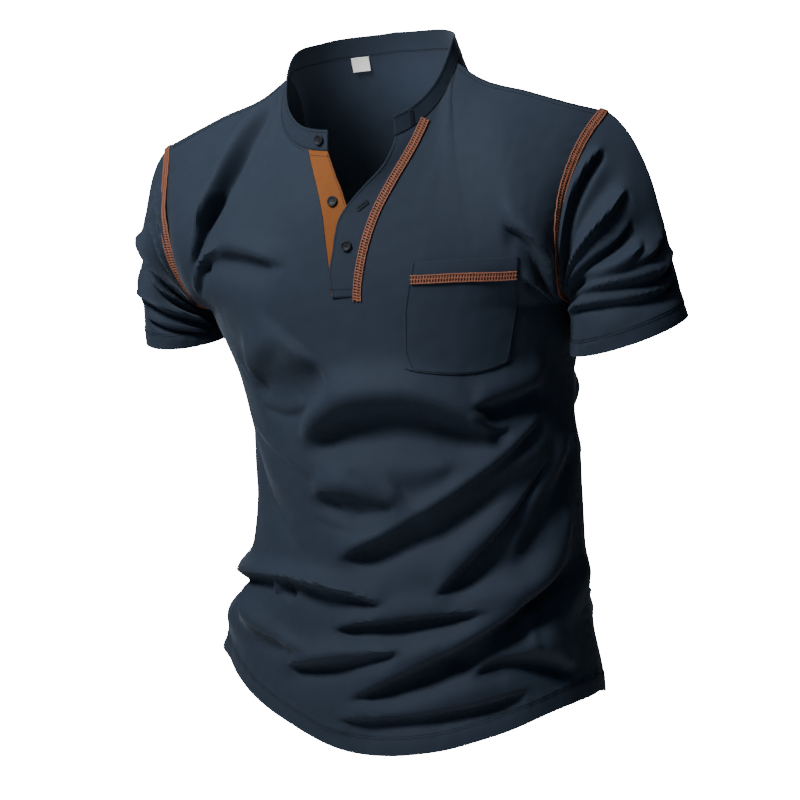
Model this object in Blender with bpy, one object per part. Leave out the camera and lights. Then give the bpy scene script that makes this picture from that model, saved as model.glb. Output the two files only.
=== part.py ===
"""Short-sleeved band-collar shirt with a buttoned placket and a chest pocket, as worn.

The cloth is one thin wall. Every piece is cut from shared guide surfaces (body, sleeves, collar),
so that neighbouring pieces meet along the same seam line with a narrow gap between them.
Frame: metres, +Z up, -Y is the front, +X is the wearer's left. The origin is the middle of the
neck at the height of the shoulder seams' inner ends.
"""
import bpy
import numpy as np

# ---------------------------------------------------------------- driving sizes (metres)
WALL = 0.0016               # cloth thickness
SEAM_GAP = 0.0003           # gap left between neighbouring pieces
LAY_GAP = 0.0005            # gap under a piece that lies on a panel

NECK_HALF_WIDTH = 0.098     # seam of the collar, at the shoulder
SHOULDER_HALF_WIDTH = 0.255
UNDERARM_DROP = 0.245
POCKET_ROWS = (28, 35)      # rows of the body's grid at the pocket's bottom and mouth
POCKET_SLACK = 0.0009       # extra room under the pocket's lower rows, over the waist folds
SLEEVE_GAP = 0.0009         # the sleeves' seam edges stand back by this at the armhole
POCKET_CURVE = 0.70         # the bottom curves down by this share of a row
SLEEVE_CLEARANCE = 0.009    # middle of the sleeve's wall to middle of the body's, at the cuff
SHOULDER_TILT = 0.028       # the wearer's left shoulder stands higher: rise per metre across

COLLAR_HEIGHT = 0.022
PLACKET_LIFT = 0.0024       # the two plackets lie this far apart, middle to middle
POCKET_BAG = 0.0030         # the pocket's mouth stands this far off the chest
LABEL_WIDTH = 0.020
LABEL_HEIGHT = 0.016
LABEL_THICKNESS = 0.0010
LABEL_SHIFT = 1             # columns of the back's grid, from the middle to the wearer's right

BODY_ROWS = 32
YOKE_ROWS = 13
SHOULDER_CELLS = 9
BACK_NECK_CELLS = 10
SLEEVE_ROWS = 14
COLLAR_ROWS = 3
PLACKET_CELLS = 3

BUTTON_RADIUS = 0.0056
BUTTON_THICKNESS = 0.0024
BUTTON_SIDES = 24

# Sections of the body below the underarm: height, centre x and y, half width,
# depth to the front and to the back, squareness of the section (2 is an ellipse).
BODY_COLUMNS = ("height", "x", "y", "half_width", "front", "back", "square")
BODY_SECTIONS = (
    (-0.735, 0.012, 0.000, 0.220, 0.150, 0.150, 2.15),
    (-0.640, 0.013, 0.000, 0.212, 0.148, 0.142, 2.15),
    (-0.560, 0.018, -0.004, 0.196, 0.142, 0.132, 2.15),
    (-0.480, 0.028, -0.006, 0.183, 0.138, 0.124, 2.15),
    (-0.400, 0.027, -0.004, 0.182, 0.142, 0.126, 2.15),
    (-0.320, 0.018, 0.000, 0.185, 0.150, 0.134, 2.20),
    (-0.245, 0.005, 0.004, 0.205, 0.156, 0.142, 2.25),
)

# Height of the hem round the body: share across from the wearer's right side to the left,
# height on the front and on the back panel.
HEM_COLUMNS = ("across", "front", "back")
HEM = (
    (-1.0, -0.618, -0.618),
    (-0.7, -0.635, -0.650),
    (-0.5, -0.655, -0.672),
    (-0.3, -0.678, -0.690),
    (0.0, -0.709, -0.704),
    (0.2, -0.704, -0.704),
    (0.4, -0.689, -0.700),
    (0.7, -0.667, -0.684),
    (1.0, -0.664, -0.664),
)

ARMHOLE_SHIFT = 0.005       # both armhole seams are drawn to the wearer's right by the pose

# Armhole seam from the underarm to the shoulder tip: share of the way, half width, y, drop.
ARMHOLE_COLUMNS = ("share", "half_width", "y", "height")
ARMHOLE_FRONT = (
    (0.00, 0.205, 0.004, -0.245),
    (0.12, 0.207, -0.040, -0.236),
    (0.32, 0.217, -0.074, -0.196),
    (0.60, 0.228, -0.072, -0.136),
    (0.85, 0.243, -0.038, -0.082),
    (1.00, 0.255, -0.014, -0.056),
)
ARMHOLE_BACK = (
    (0.00, 0.205, 0.004, -0.245),
    (0.12, 0.206, 0.050, -0.234),
    (0.32, 0.210, 0.082, -0.192),
    (0.60, 0.222, 0.080, -0.130),
    (0.85, 0.242, 0.040, -0.072),
    (1.00, 0.255, -0.014, -0.056),
)


def column(table, names, name):
    """One named column of a table as an array."""
    return np.array([row[names.index(name)] for row in table], dtype=float)


def spline(knots, values, at):
    """Smooth curve through the values (Catmull-Rom tangents on uneven knots)."""
    knots = np.asarray(knots, float)
    values = np.asarray(values, float)
    at = np.clip(np.asarray(at, float), knots.min(), knots.max())
    if knots[0] > knots[-1]:
        knots, values = knots[::-1], values[::-1]
    slope = np.gradient(values, knots, axis=0)
    i = np.clip(np.searchsorted(knots, at) - 1, 0, len(knots) - 2)
    span = knots[i + 1] - knots[i]
    t = (at - knots[i]) / span
    if values.ndim > 1:
        t = t[..., None]
        span = span[..., None]
    h00, h10 = 2 * t**3 - 3 * t**2 + 1, t**3 - 2 * t**2 + t
    h01, h11 = 3 * t**2 - 2 * t**3, t**3 - t**2
    return (h00 * values[i] + h10 * span * slope[i]
            + h01 * values[i + 1] + h11 * span * slope[i + 1])


def smoothstep(low, high, x):
    """Soft step from 0 at low to 1 at high; low may be the larger of the two."""
    t = np.clip((np.asarray(x, float) - low) / (high - low), 0.0, 1.0)
    return t * t * (3.0 - 2.0 * t)


def lean(point):
    """The pose: the wearer's left shoulder stands a little higher than the right one."""
    rise = SHOULDER_TILT * point[..., 0] * smoothstep(-0.34, -0.06, point[..., 2])
    return point + rise[..., None] * np.array([0.0, 0.0, 1.0])


def body_ring(turn, height):
    """Point of the body's section at a turn (radians from the centre front to the left)."""
    knots = column(BODY_SECTIONS, BODY_COLUMNS, "height")

    def at(name):
        return spline(knots, column(BODY_SECTIONS, BODY_COLUMNS, name), height)

    power = 2.0 / at("square")
    across, along = np.sin(turn), np.cos(turn)
    depth = np.where(along >= 0.0, at("front"), at("back"))
    x = at("x") + at("half_width") * np.sign(across) * np.abs(across)**power
    y = at("y") - depth * np.sign(along) * np.abs(along)**power
    return np.stack(np.broadcast_arrays(x, y, height), -1)


# Neck seam seen from above: turn from the centre front (degrees) and height of the seam.
NECK_Y = -0.030
NECK_FRONT_DEPTH = 0.088
NECK_BACK_DEPTH = 0.084
NECK_COLUMNS = ("turn", "height")
NECK_SEAM = (
    (0.0, -0.081),
    (35.0, -0.070),
    (65.0, -0.037),
    (90.0, 0.006),
    (125.0, 0.024),
    (180.0, 0.032),
)
NECK_SHARE = 0.44           # share of the panels' top edge that is neckline

# Shoulder seam from the collar to the tip: share of the way and height.
SHOULDER_COLUMNS = ("share", "y", "height")
SHOULDER_SEAM = (
    (0.00, -0.030, 0.006),
    (0.15, -0.034, -0.011),
    (0.50, -0.034, -0.030),
    (0.85, -0.024, -0.049),
    (1.00, -0.014, -0.056),
)


# Lean of the collar band towards the neck (degrees) at a turn from the centre front.
LEAN_COLUMNS = ("turn", "lean")
COLLAR_LEAN = (
    (0.0, 4.0),
    (25.0, 6.0),
    (60.0, 11.0),
    (90.0, 16.0),
    (180.0, 26.0),
)


def neck_point(turn):
    """Point of the neck seam; turn runs from the centre front, positive to the left."""
    degrees = np.abs(np.degrees(turn))
    height = spline(column(NECK_SEAM, NECK_COLUMNS, "turn"),
                    column(NECK_SEAM, NECK_COLUMNS, "height"), degrees)
    along = np.cos(turn)
    depth = np.where(along >= 0.0, NECK_FRONT_DEPTH, NECK_BACK_DEPTH)
    return np.stack([NECK_HALF_WIDTH * np.sin(turn), NECK_Y - depth * along, height], -1)


def shoulder_point(share, side):
    """Point of the shoulder seam, from the collar (0) to the sleeve (1)."""
    knots = column(SHOULDER_SEAM, SHOULDER_COLUMNS, "share")
    y = spline(knots, column(SHOULDER_SEAM, SHOULDER_COLUMNS, "y"), share)
    z = spline(knots, column(SHOULDER_SEAM, SHOULDER_COLUMNS, "height"), share)
    x = side * (NECK_HALF_WIDTH + share * (SHOULDER_HALF_WIDTH - NECK_HALF_WIDTH))
    return np.stack([x, y, z], -1)


def top_edge(across, back):
    """Top edge of a body panel: neckline in the middle, shoulder seams at the sides."""
    reach = np.abs(across)
    side = np.sign(across)
    turn = reach / NECK_SHARE * np.pi / 2.0
    turn = np.where(reach < NECK_SHARE, turn, np.pi / 2.0)
    neck = neck_point(np.where(back, np.pi - turn, turn))
    neck = neck * np.stack([side, np.ones_like(side), np.ones_like(side)], -1)
    share = np.clip((reach - NECK_SHARE) / (1.0 - NECK_SHARE), 0.0, 1.0)
    shoulder = shoulder_point(share, side)
    return np.where((reach < NECK_SHARE)[..., None], neck, shoulder)


def armhole_point(share, side, back):
    """Point of the armhole seam on one panel, from the underarm (0) to the shoulder tip (1)."""
    table = ARMHOLE_BACK if back else ARMHOLE_FRONT
    knots = column(table, ARMHOLE_COLUMNS, "share")
    shift = BODY_SECTIONS[-1][BODY_COLUMNS.index("x")] * smoothstep(1.0, 0.0, share)
    shift = shift - ARMHOLE_SHIFT * np.sin(np.pi * np.asarray(share))
    x = side * spline(knots, column(table, ARMHOLE_COLUMNS, "half_width"), share) + shift
    y = spline(knots, column(table, ARMHOLE_COLUMNS, "y"), share)
    z = spline(knots, column(table, ARMHOLE_COLUMNS, "height"), share)
    return np.stack(np.broadcast_arrays(x, y, z), -1)


def hermite(start, start_pull, end, end_pull, share):
    """Curve between two points with a given pull at each end."""
    t = np.asarray(share, float)[..., None]
    return ((2 * t**3 - 3 * t**2 + 1) * start + (t**3 - 2 * t**2 + t) * start_pull
            + (3 * t**2 - 2 * t**3) * end + (t**3 - t**2) * end_pull)


def yoke_plain(across, share, back):
    """Upper part of a panel, from the underarm height up to the neckline and the shoulders."""
    turn = across * np.pi / 2.0
    turn = np.where(back, np.pi - turn, turn)
    base = body_ring(turn, np.full_like(turn, -UNDERARM_DROP))
    below = body_ring(turn, np.full_like(turn, -UNDERARM_DROP - 0.03))
    top = top_edge(across, back)
    reach = np.linalg.norm(top - base, axis=-1, keepdims=True)
    rise = (base - below) / np.linalg.norm(base - below, axis=-1, keepdims=True)
    # at the shoulders the front cloth arrives going up and back, the back cloth comes over
    over = smoothstep(0.20, 0.70, np.abs(across))
    tilt = np.radians(62.0 - 30.0 * over) if not back else np.radians(70.0 - 110.0 * over)
    forward = -1.0 if back else 1.0
    arrive = np.stack([np.zeros_like(tilt), forward * np.cos(tilt), np.sin(tilt)], -1)
    strength = (0.95 - 0.38 * over if back else 0.95 - 0.10 * over)[..., None]
    return hermite(base, rise * reach * 1.05, top, arrive * reach * strength, share)


def panel_point(across, up, back):
    """Body panel: across runs -1..1 from side to side, up runs 0..1 hem to underarm height
    and 1..2 from there to the neckline and shoulders."""
    across = np.asarray(across, float)
    up = np.asarray(up, float)
    across, up = np.broadcast_arrays(across, up)
    turn = across * np.pi / 2.0
    turn = np.where(back, np.pi - turn, turn)
    hem = spline(column(HEM, HEM_COLUMNS, "across"),
                 column(HEM, HEM_COLUMNS, "back" if back else "front"), across)
    low = np.clip(up, 0.0, 1.0)
    height = hem + (-UNDERARM_DROP - hem) * low
    lower = body_ring(turn, height)
    share = np.clip(up - 1.0, 0.0, 1.0)
    upper = yoke_plain(across, share, back)
    side = np.where(across < 0, -1.0, 1.0)
    edge = armhole_point(share, side, back)
    full = np.where(across < 0, -1.0, 1.0)
    drift = edge - yoke_plain(full, share, back)
    upper = upper + drift * smoothstep(0.35, 1.0, np.abs(across))[..., None]
    return lean(np.where((up <= 1.0)[..., None], lower, upper))


# Sleeve ends: centre of the cuff ring, arm direction (degrees out from straight down and
# forward), half width across the arm, half depth.
CUFF_COLUMNS = ("side", "x", "y", "z", "out", "front", "half_width", "half_depth")
CUFFS = (
    (1.0, 0.273, -0.014, -0.281, 15.0, -10.0, 0.063, 0.060),
    (-1.0, -0.243, -0.002, -0.276, 3.0, -10.0, 0.045, 0.072),
)


def cuff_point(around, side):
    """Cuff ring; around runs 0..1 underarm, front, outer, back, underarm."""
    row = CUFFS[0] if side > 0 else CUFFS[1]
    value = dict(zip(CUFF_COLUMNS, row))
    out = np.radians(value["out"])
    front = np.radians(value["front"])
    arm = np.array([side * np.sin(out), -np.sin(front), -np.cos(out)])
    arm /= np.linalg.norm(arm)
    outer = np.array([side * np.cos(out), 0.0, np.sin(out)])
    ahead = np.cross(arm, outer) * side
    centre = np.array([value["x"], value["y"], value["z"]])
    angle = np.asarray(around, float) * 2.0 * np.pi
    point = (centre - value["half_width"] * np.cos(angle)[..., None] * outer
             + value["half_depth"] * np.sin(angle)[..., None] * ahead)
    return point, arm


def sleeve_point(around, down, side):
    """Sleeve: around as on the cuff, down runs 0..1 from the armhole seam to the cuff."""
    around = np.asarray(around, float)
    down = np.asarray(down, float)
    around, down = np.broadcast_arrays(around, down)
    front_share = np.clip(around * 2.0, 0.0, 1.0)
    back_share = np.clip(2.0 - around * 2.0, 0.0, 1.0)
    front_edge = armhole_point(front_share, side, False)
    back_edge = armhole_point(back_share, side, True)
    start = np.where((around <= 0.5)[..., None], front_edge, back_edge)
    end, arm = cuff_point(around, side)
    reach = np.linalg.norm(end - start, axis=-1, keepdims=True)
    crown = (0.5 - 0.5 * np.cos(around * 2.0 * np.pi))[..., None]
    leave_top = np.array([side * 0.72, 0.0, -0.56])
    leave_low = np.array([side * 0.95, 0.0, -0.30])
    leave = leave_low + (leave_top - leave_low) * crown
    return lean(hermite(start, leave * reach, end, arm * reach, down))


# ---------------------------------------------------------------- folds
# Folds of the body. Across runs -1..1 over the front and 1..3 over the back, height in metres.
# A fold runs from its start through its middle to its end; width is the half width of its
# slope, depth its rise. Slope 1 is a fold that hangs over on its lower side, 0 a plain ridge
# (depth above 0) or valley (depth below 0).
# Columns: x0, z0, x1, z1, x2, z2, width, depth, slope
BODY_FOLDS = (
    # chest and armholes
    (0.60, -0.158, 0.78, -0.178, 0.93, -0.225, 0.018, 0.006, 1.0),
    (-0.52, -0.060, -0.55, -0.140, -0.72, -0.215, 0.014, -0.006, 0.0),
    (-0.62, -0.100, -0.62, -0.160, -0.72, -0.205, 0.012, 0.005, 0.0),
    (-0.48, -0.180, -0.32, -0.186, -0.15, -0.200, 0.016, 0.004, 1.0),
    (-0.34, -0.280, -0.25, -0.320, -0.16, -0.352, 0.030, -0.008, 0.0),
    # sags across the waist
    (-0.28, -0.390, 0.10, -0.338, 0.50, -0.386, 0.024, 0.009, 1.0),
    (0.40, -0.345, 0.60, -0.334, 0.82, -0.322, 0.018, 0.006, 1.0),
    (-0.22, -0.424, 0.03, -0.448, 0.16, -0.440, 0.022, 0.006, 1.0),
    (-0.14, -0.508, 0.26, -0.458, 0.84, -0.376, 0.018, 0.008, 1.0),
    (0.22, -0.542, 0.48, -0.470, 0.82, -0.385, 0.019, 0.007, 1.0),
    (0.50, -0.520, 0.72, -0.450, 0.98, -0.380, 0.018, 0.006, 1.0),
    # hip
    (-1.25, -0.545, -0.50, -0.527, 0.08, -0.548, 0.013, 0.009, 0.0),
    (-1.30, -0.588, -0.85, -0.588, -0.30, -0.580, 0.021, 0.013, 0.0),
    (-1.40, -0.630, -1.00, -0.628, -0.66, -0.626, 0.014, 0.009, 0.0),
    (-0.12, -0.582, 0.14, -0.564, 0.48, -0.553, 0.017, 0.006, 1.0),
    (-0.32, -0.622, -0.10, -0.612, 0.16, -0.592, 0.017, 0.006, 1.0),
    (-0.06, -0.654, 0.34, -0.588, 0.92, -0.505, 0.020, 0.011, 1.0),
    (-0.08, -0.678, 0.20, -0.660, 0.62, -0.636, 0.018, 0.006, 1.0),
    (0.34, -0.628, 0.56, -0.604, 0.86, -0.632, 0.018, 0.006, 1.0),
    (0.62, -0.600, 0.82, -0.560, 1.20, -0.520, 0.020, 0.008, 0.0),
    # the side and the back
    (-0.86, -0.330, -0.62, -0.420, -0.26, -0.492, 0.020, -0.006, 0.0),
    (1.10, -0.330, 1.50, -0.372, 2.30, -0.340, 0.026, 0.007, 1.0),
    (1.20, -0.430, 1.90, -0.470, 2.70, -0.420, 0.024, 0.009, 1.0),
    (1.30, -0.540, 2.00, -0.500, 2.90, -0.560, 0.022, 0.009, 1.0),
    (1.10, -0.580, 1.60, -0.610, 2.20, -0.590, 0.022, 0.008, 1.0),
    (2.10, -0.620, 2.60, -0.600, 3.00, -0.575, 0.020, 0.008, 1.0),
    (1.28, -0.130, 1.36, -0.180, 1.24, -0.225, 0.020, 0.006, 0.0),
    (2.72, -0.130, 2.64, -0.180, 2.76, -0.225, 0.020, 0.006, 0.0),
    (1.60, -0.250, 2.00, -0.280, 2.40, -0.250, 0.030, 0.006, 1.0),
)

# Folds of the sleeves: around as on the cuff, down 0..1 from armhole to cuff.
SLEEVE_FOLDS_LEFT = (
    (0.09, 0.12, 0.26, 0.24, 0.46, 0.32, 0.016, 0.005, 1.0),
    (0.07, 0.34, 0.24, 0.50, 0.48, 0.62, 0.017, 0.006, 1.0),
    (0.92, 0.15, 0.74, 0.30, 0.54, 0.42, 0.017, 0.006, 1.0),
    (0.94, 0.42, 0.76, 0.58, 0.56, 0.70, 0.016, 0.005, 1.0),
)
SLEEVE_FOLDS_RIGHT = (
    (0.08, 0.18, 0.24, 0.26, 0.44, 0.24, 0.015, 0.005, 1.0),
    (0.06, 0.50, 0.24, 0.60, 0.48, 0.56, 0.016, 0.006, 1.0),
    (0.92, 0.15, 0.74, 0.30, 0.56, 0.36, 0.017, 0.006, 1.0),
    (0.94, 0.44, 0.76, 0.58, 0.56, 0.62, 0.016, 0.005, 1.0),
)
ACROSS_LENGTH = 0.28        # cloth length of one unit of across, at the chest
AROUND_LENGTH = 0.40        # girth of a sleeve
SLEEVE_LENGTH = 0.20
FOLD_STEPS = 24


def fold_height(table, u, v, scale, period):
    """Rise of the cloth at (u, v) from a table of folds; scale turns u and v into metres."""
    total = np.zeros(np.broadcast(u, v).shape)
    t = np.linspace(0.0, 1.0, FOLD_STEPS)
    for row in table:
        x0, z0, x1, z1, x2, z2, width, depth, slope = row
        bend_x, bend_z = 2.0 * x1 - (x0 + x2) / 2.0, 2.0 * z1 - (z0 + z2) / 2.0
        path_u = (1 - t)**2 * x0 + 2 * t * (1 - t) * bend_x + t**2 * x2
        path_v = (1 - t)**2 * z0 + 2 * t * (1 - t) * bend_z + t**2 * z2
        du = (u[..., None] - path_u + period / 2.0) % period - period / 2.0
        dv = v[..., None] - path_v
        du, dv = du * scale[0], dv * scale[1]
        near = np.argmin(du * du + dv * dv, axis=-1)[..., None]
        du = np.take_along_axis(du, near, -1)[..., 0]
        dv = np.take_along_axis(dv, near, -1)[..., 0]
        along_u = np.gradient(path_u)[near[..., 0]] * scale[0]
        along_v = np.gradient(path_v)[near[..., 0]] * scale[1]
        length = np.hypot(along_u, along_v)
        above = (along_u * dv - along_v * du) / length * np.sign(along_u)
        past = (along_u * du + along_v * dv) / length**2
        share = np.clip(t[near[..., 0]] + past * t[1], 0.0, 1.0)
        fade = smoothstep(0.0, 0.22, share) * smoothstep(0.0, 0.22, 1.0 - share)
        bell = np.exp(-0.5 * (above / width)**2)
        lip = above / width * np.exp(0.5)
        total += depth * fade * bell * ((1.0 - slope) + slope * lip)
    return total


def body_folds(across, up, point, back):
    """Rise of the body cloth; it dies away at the armholes, the neckline and the shoulders."""
    around = np.where(back, 2.0 - across, across)
    rise = fold_height(BODY_FOLDS, around, point[..., 2], (ACROSS_LENGTH, 1.0), 4.0)
    share = np.clip(up - 1.0, 0.0, 1.0)
    near_armhole = smoothstep(0.0, 0.10, 1.0 - np.abs(across) + smoothstep(0.12, 0.0, share))
    return rise * near_armhole * smoothstep(0.0, 0.20, 1.0 - share)


def sleeve_folds(around, down, side):
    table = SLEEVE_FOLDS_LEFT if side > 0 else SLEEVE_FOLDS_RIGHT
    rise = fold_height(table, around, down, (AROUND_LENGTH, SLEEVE_LENGTH), 1.0)
    return rise * smoothstep(0.0, 0.14, down) * smoothstep(0.0, 0.10, 1.0 - down)


# ---------------------------------------------------------------- grids
def grid_normals(grid, closed):
    """Unit normals of a grid of points, outwards for columns that run to the left."""
    if closed:
        along = np.roll(grid, -1, axis=1) - np.roll(grid, 1, axis=1)
    else:
        along = np.gradient(grid, axis=1)
    up = np.gradient(grid, axis=0)
    normal = np.cross(along, up)
    return normal / np.linalg.norm(normal, axis=-1, keepdims=True)


# Front columns: key lines with their share across at heights of the panel. They follow the
# placket's two edges, the pocket's sides and the ends of the shoulder seams.
KEY_COLUMNS = ("up", "placket_right", "placket_left", "pocket_right", "pocket_left")
KEY_LINES = (
    (0.00, -0.035, 0.050, 0.190, 0.660),
    (0.60, -0.030, 0.050, 0.180, 0.610),
    (0.86, -0.018, 0.050, 0.178, 0.580),
    (1.09, -0.010, 0.050, 0.205, 0.640),
    (1.25, -0.008, 0.066, 0.232, 0.695),
    (1.42, -0.016, 0.090, 0.262, 0.690),
    (1.58, -0.030, 0.122, 0.290, 0.670),
    (1.74, -0.058, 0.170, 0.318, 0.655),
    (1.90, -0.096, 0.235, 0.345, 0.635),
    (2.00, -0.120, 0.268, 0.354, NECK_SHARE + (1.0 - NECK_SHARE) * 3 / SHOULDER_CELLS),
)
KEY_CELLS = (SHOULDER_CELLS, 6, 2, 2, 4, 3, 6)
# Free edges of the two plackets: share across at heights of the panel.
EDGE_COLUMNS = ("up", "overlap", "underlap", "flare")
FREE_EDGES = (
    (1.09, -0.006, 0.044, 0.000),
    (1.23, -0.007, 0.054, 0.000),
    (1.35, 0.001, 0.062, 0.000),
    (1.46, 0.008, 0.062, 0.001),
    (1.56, 0.020, 0.048, 0.002),
    (1.65, 0.050, 0.032, 0.003),
    (1.74, 0.090, 0.016, 0.004),
    (1.83, 0.135, -0.004, 0.005),
    (1.92, 0.158, -0.026, 0.005),
    (2.00, 0.165, -0.046, 0.004),
)


def rows_up():
    """Row heights shared by every piece of the body; one row is the placket's lower end."""
    low = np.linspace(0.0, 1.0, BODY_ROWS + 1)
    high = np.linspace(KEY_LINES[3][0], 2.0, YOKE_ROWS)
    return np.concatenate([low, high])


def key_line(name, up):
    return spline(column(KEY_LINES, KEY_COLUMNS, "up"), column(KEY_LINES, KEY_COLUMNS, name), up)


def free_edge(name, up):
    return spline(column(FREE_EDGES, EDGE_COLUMNS, "up"),
                  column(FREE_EDGES, EDGE_COLUMNS, name), up)


def front_across(up):
    """Column positions of the front panel for each row."""
    ones = np.ones_like(up)
    keys = [-ones, -NECK_SHARE * ones, key_line("placket_right", up),
            key_line("placket_left", up), key_line("pocket_right", up),
            NECK_SHARE * ones, key_line("pocket_left", up), ones]
    columns = []
    for cells, start, end in zip(KEY_CELLS, keys[:-1], keys[1:]):
        for k in range(cells):
            columns.append(start + (end - start) * k / cells)
    columns.append(keys[-1])
    return np.stack(columns, -1)


def back_across(up):
    """Column positions of the back panel, running from the wearer's left to the right."""
    side = np.linspace(1.0, NECK_SHARE, SHOULDER_CELLS + 1)
    middle = np.linspace(NECK_SHARE, -NECK_SHARE, BACK_NECK_CELLS + 1)
    line = np.concatenate([side, middle[1:-1], -side[::-1]])
    return np.broadcast_to(line, (len(up), len(line)))


def weld_normals(grids, normals):
    """Gives points that lie at the same place in two grids the mean of their normals."""
    points = np.concatenate([grid.reshape(-1, 3) for grid in grids])
    stacked = np.concatenate([normal.reshape(-1, 3) for normal in normals])
    keys = np.round(points, 6) + 0.0
    unique, place = np.unique(keys, axis=0, return_inverse=True)
    place = place.reshape(-1)
    total = np.zeros_like(unique)
    np.add.at(total, place, stacked)
    mean = total[place]
    mean /= np.linalg.norm(mean, axis=-1, keepdims=True)
    welded, first = [], 0
    for grid in grids:
        count = grid.shape[0] * grid.shape[1]
        welded.append(mean[first:first + count].reshape(grid.shape))
        first += count
    return welded


def body_grids():
    """Front and back panel: points of the cloth's middle, folds included."""
    up = rows_up()
    sides = []
    for back in (False, True):
        across = back_across(up) if back else front_across(up)
        rows = np.broadcast_to(up[:, None], across.shape)
        sides.append((across, rows, panel_point(across, rows, back), back))
    plain = [side[2] for side in sides]
    normals = weld_normals(plain, [grid_normals(grid, False) for grid in plain])
    return [grid + normal * body_folds(across, rows, grid, back)[..., None]
            for (across, rows, grid, back), normal in zip(sides, normals)]


def clear_of_body(grid, side, down):
    """Keeps a sleeve's inner side just outside the body's wall, more so towards the cuff."""
    x, y, z = grid[..., 0], grid[..., 1], grid[..., 2]
    knots = column(BODY_SECTIONS, BODY_COLUMNS, "height")

    def at(name):
        return spline(knots, column(BODY_SECTIONS, BODY_COLUMNS, name), z)

    depth = np.where(y < at("y"), at("front"), at("back"))
    share = np.clip(np.abs(y - at("y")) / depth, 0.0, 1.0)
    reach = at("half_width") * (1.0 - share**at("square"))**(1.0 / at("square"))
    least = side * at("x") + reach + SLEEVE_CLEARANCE * smoothstep(0.0, 0.15, down)
    return np.stack([side * np.maximum(side * x, least), y, z], -1)


def sleeve_grid(side):
    """Sleeve: points of the cloth's middle, a closed ring in each row."""
    up = rows_up()[BODY_ROWS:] - 1.0
    share = np.concatenate([up, 2.0 - up[-2:0:-1]]) / 2.0
    down = np.linspace(0.0, 1.0, SLEEVE_ROWS + 1)
    around, down = np.meshgrid(share, down)
    plain = sleeve_point(around, down, side)
    normal = grid_normals(plain, True) * -side
    grid = plain + normal * sleeve_folds(around, down, side)[..., None]
    grid = np.where((down > 0.0)[..., None], clear_of_body(grid, side, down), grid)
    return grid[::-1] if side > 0 else grid


def placket_grid(name):
    """A placket strip in the front opening, from its sewn edge to its free edge."""
    up = rows_up()[BODY_ROWS + 1:]
    right, left = key_line("placket_right", up), key_line("placket_left", up)
    free = free_edge(name, up)
    share = np.linspace(0.0, 1.0, PLACKET_CELLS + 1)
    if name == "overlap":
        across = free[:, None] + (left - free)[:, None] * share
    else:
        across = right[:, None] + (free - right)[:, None] * share
    rows = np.broadcast_to(up[:, None], across.shape)
    plain = panel_point(across, rows, False)
    normal = grid_normals(plain, False)
    over = (across - right[:, None]) / (left - right)[:, None]
    if name == "overlap":
        flare = free_edge("flare", up)[:, None] * (1.0 - share)**1.5
        lift = PLACKET_LIFT * (1.0 - over) + flare
    else:
        lift = -PLACKET_LIFT * over
    lift = lift + body_folds(across, rows, plain, False)
    return plain + normal * lift[..., None]


def collar_grid(front, back, overlap, underlap):
    """Collar band: stands on the neck seam, from the overlap round the back to the underlap."""
    knots = np.cumsum((0,) + KEY_CELLS)
    seam = np.concatenate([
        overlap[-1][:-1], front[-1][knots[3]:knots[5]],
        back[-1][SHOULDER_CELLS:SHOULDER_CELLS + BACK_NECK_CELLS],
        front[-1][knots[1]:knots[2]], underlap[-1]])
    turn = np.abs(np.degrees(np.arctan2(seam[:, 0], -(seam[:, 1] - NECK_Y))))
    tilt = np.radians(spline(column(COLLAR_LEAN, LEAN_COLUMNS, "turn"),
                             column(COLLAR_LEAN, LEAN_COLUMNS, "lean"), turn))
    inward = np.stack([-seam[:, 0], NECK_Y - seam[:, 1], np.zeros(len(seam))], -1)
    inward /= np.linalg.norm(inward, axis=-1, keepdims=True)
    upward = np.array([0.0, 0.0, 1.0])
    rise = inward * np.sin(tilt)[:, None] + upward * np.cos(tilt)[:, None]
    share = np.linspace(0.0, 1.0, COLLAR_ROWS + 1)[:, None, None]
    return seam[None] + share * COLLAR_HEIGHT * rise[None]


# ---------------------------------------------------------------- solids
def boundary(faces):
    """Edges that only one face uses, with that face and the edge's place in it."""
    used = {}
    for index, face in enumerate(faces):
        for k, start in enumerate(face):
            used[(start, face[(k + 1) % 4])] = (index, k)
    return [(edge, where) for edge, where in used.items() if edge[::-1] not in used]


def pull_back(points, faces, gap):
    """Moves the points on the border inwards by the gap, square to the border."""
    moves = {}
    for (start, end), (index, k) in boundary(faces):
        face = faces[index]
        tangent = points[end] - points[start]
        tangent /= np.linalg.norm(tangent)
        for vertex, partner in ((start, face[(k + 3) % 4]), (end, face[(k + 2) % 4])):
            inward = points[partner] - points[vertex]
            inward -= tangent * inward.dot(tangent)
            inward /= np.linalg.norm(inward)
            moves.setdefault(vertex, {}).setdefault(partner, []).append(inward)
    moved = points.copy()
    for vertex, partners in moves.items():
        for inward in partners.values():
            moved[vertex] += np.mean(inward, axis=0) * gap
    return moved


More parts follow.
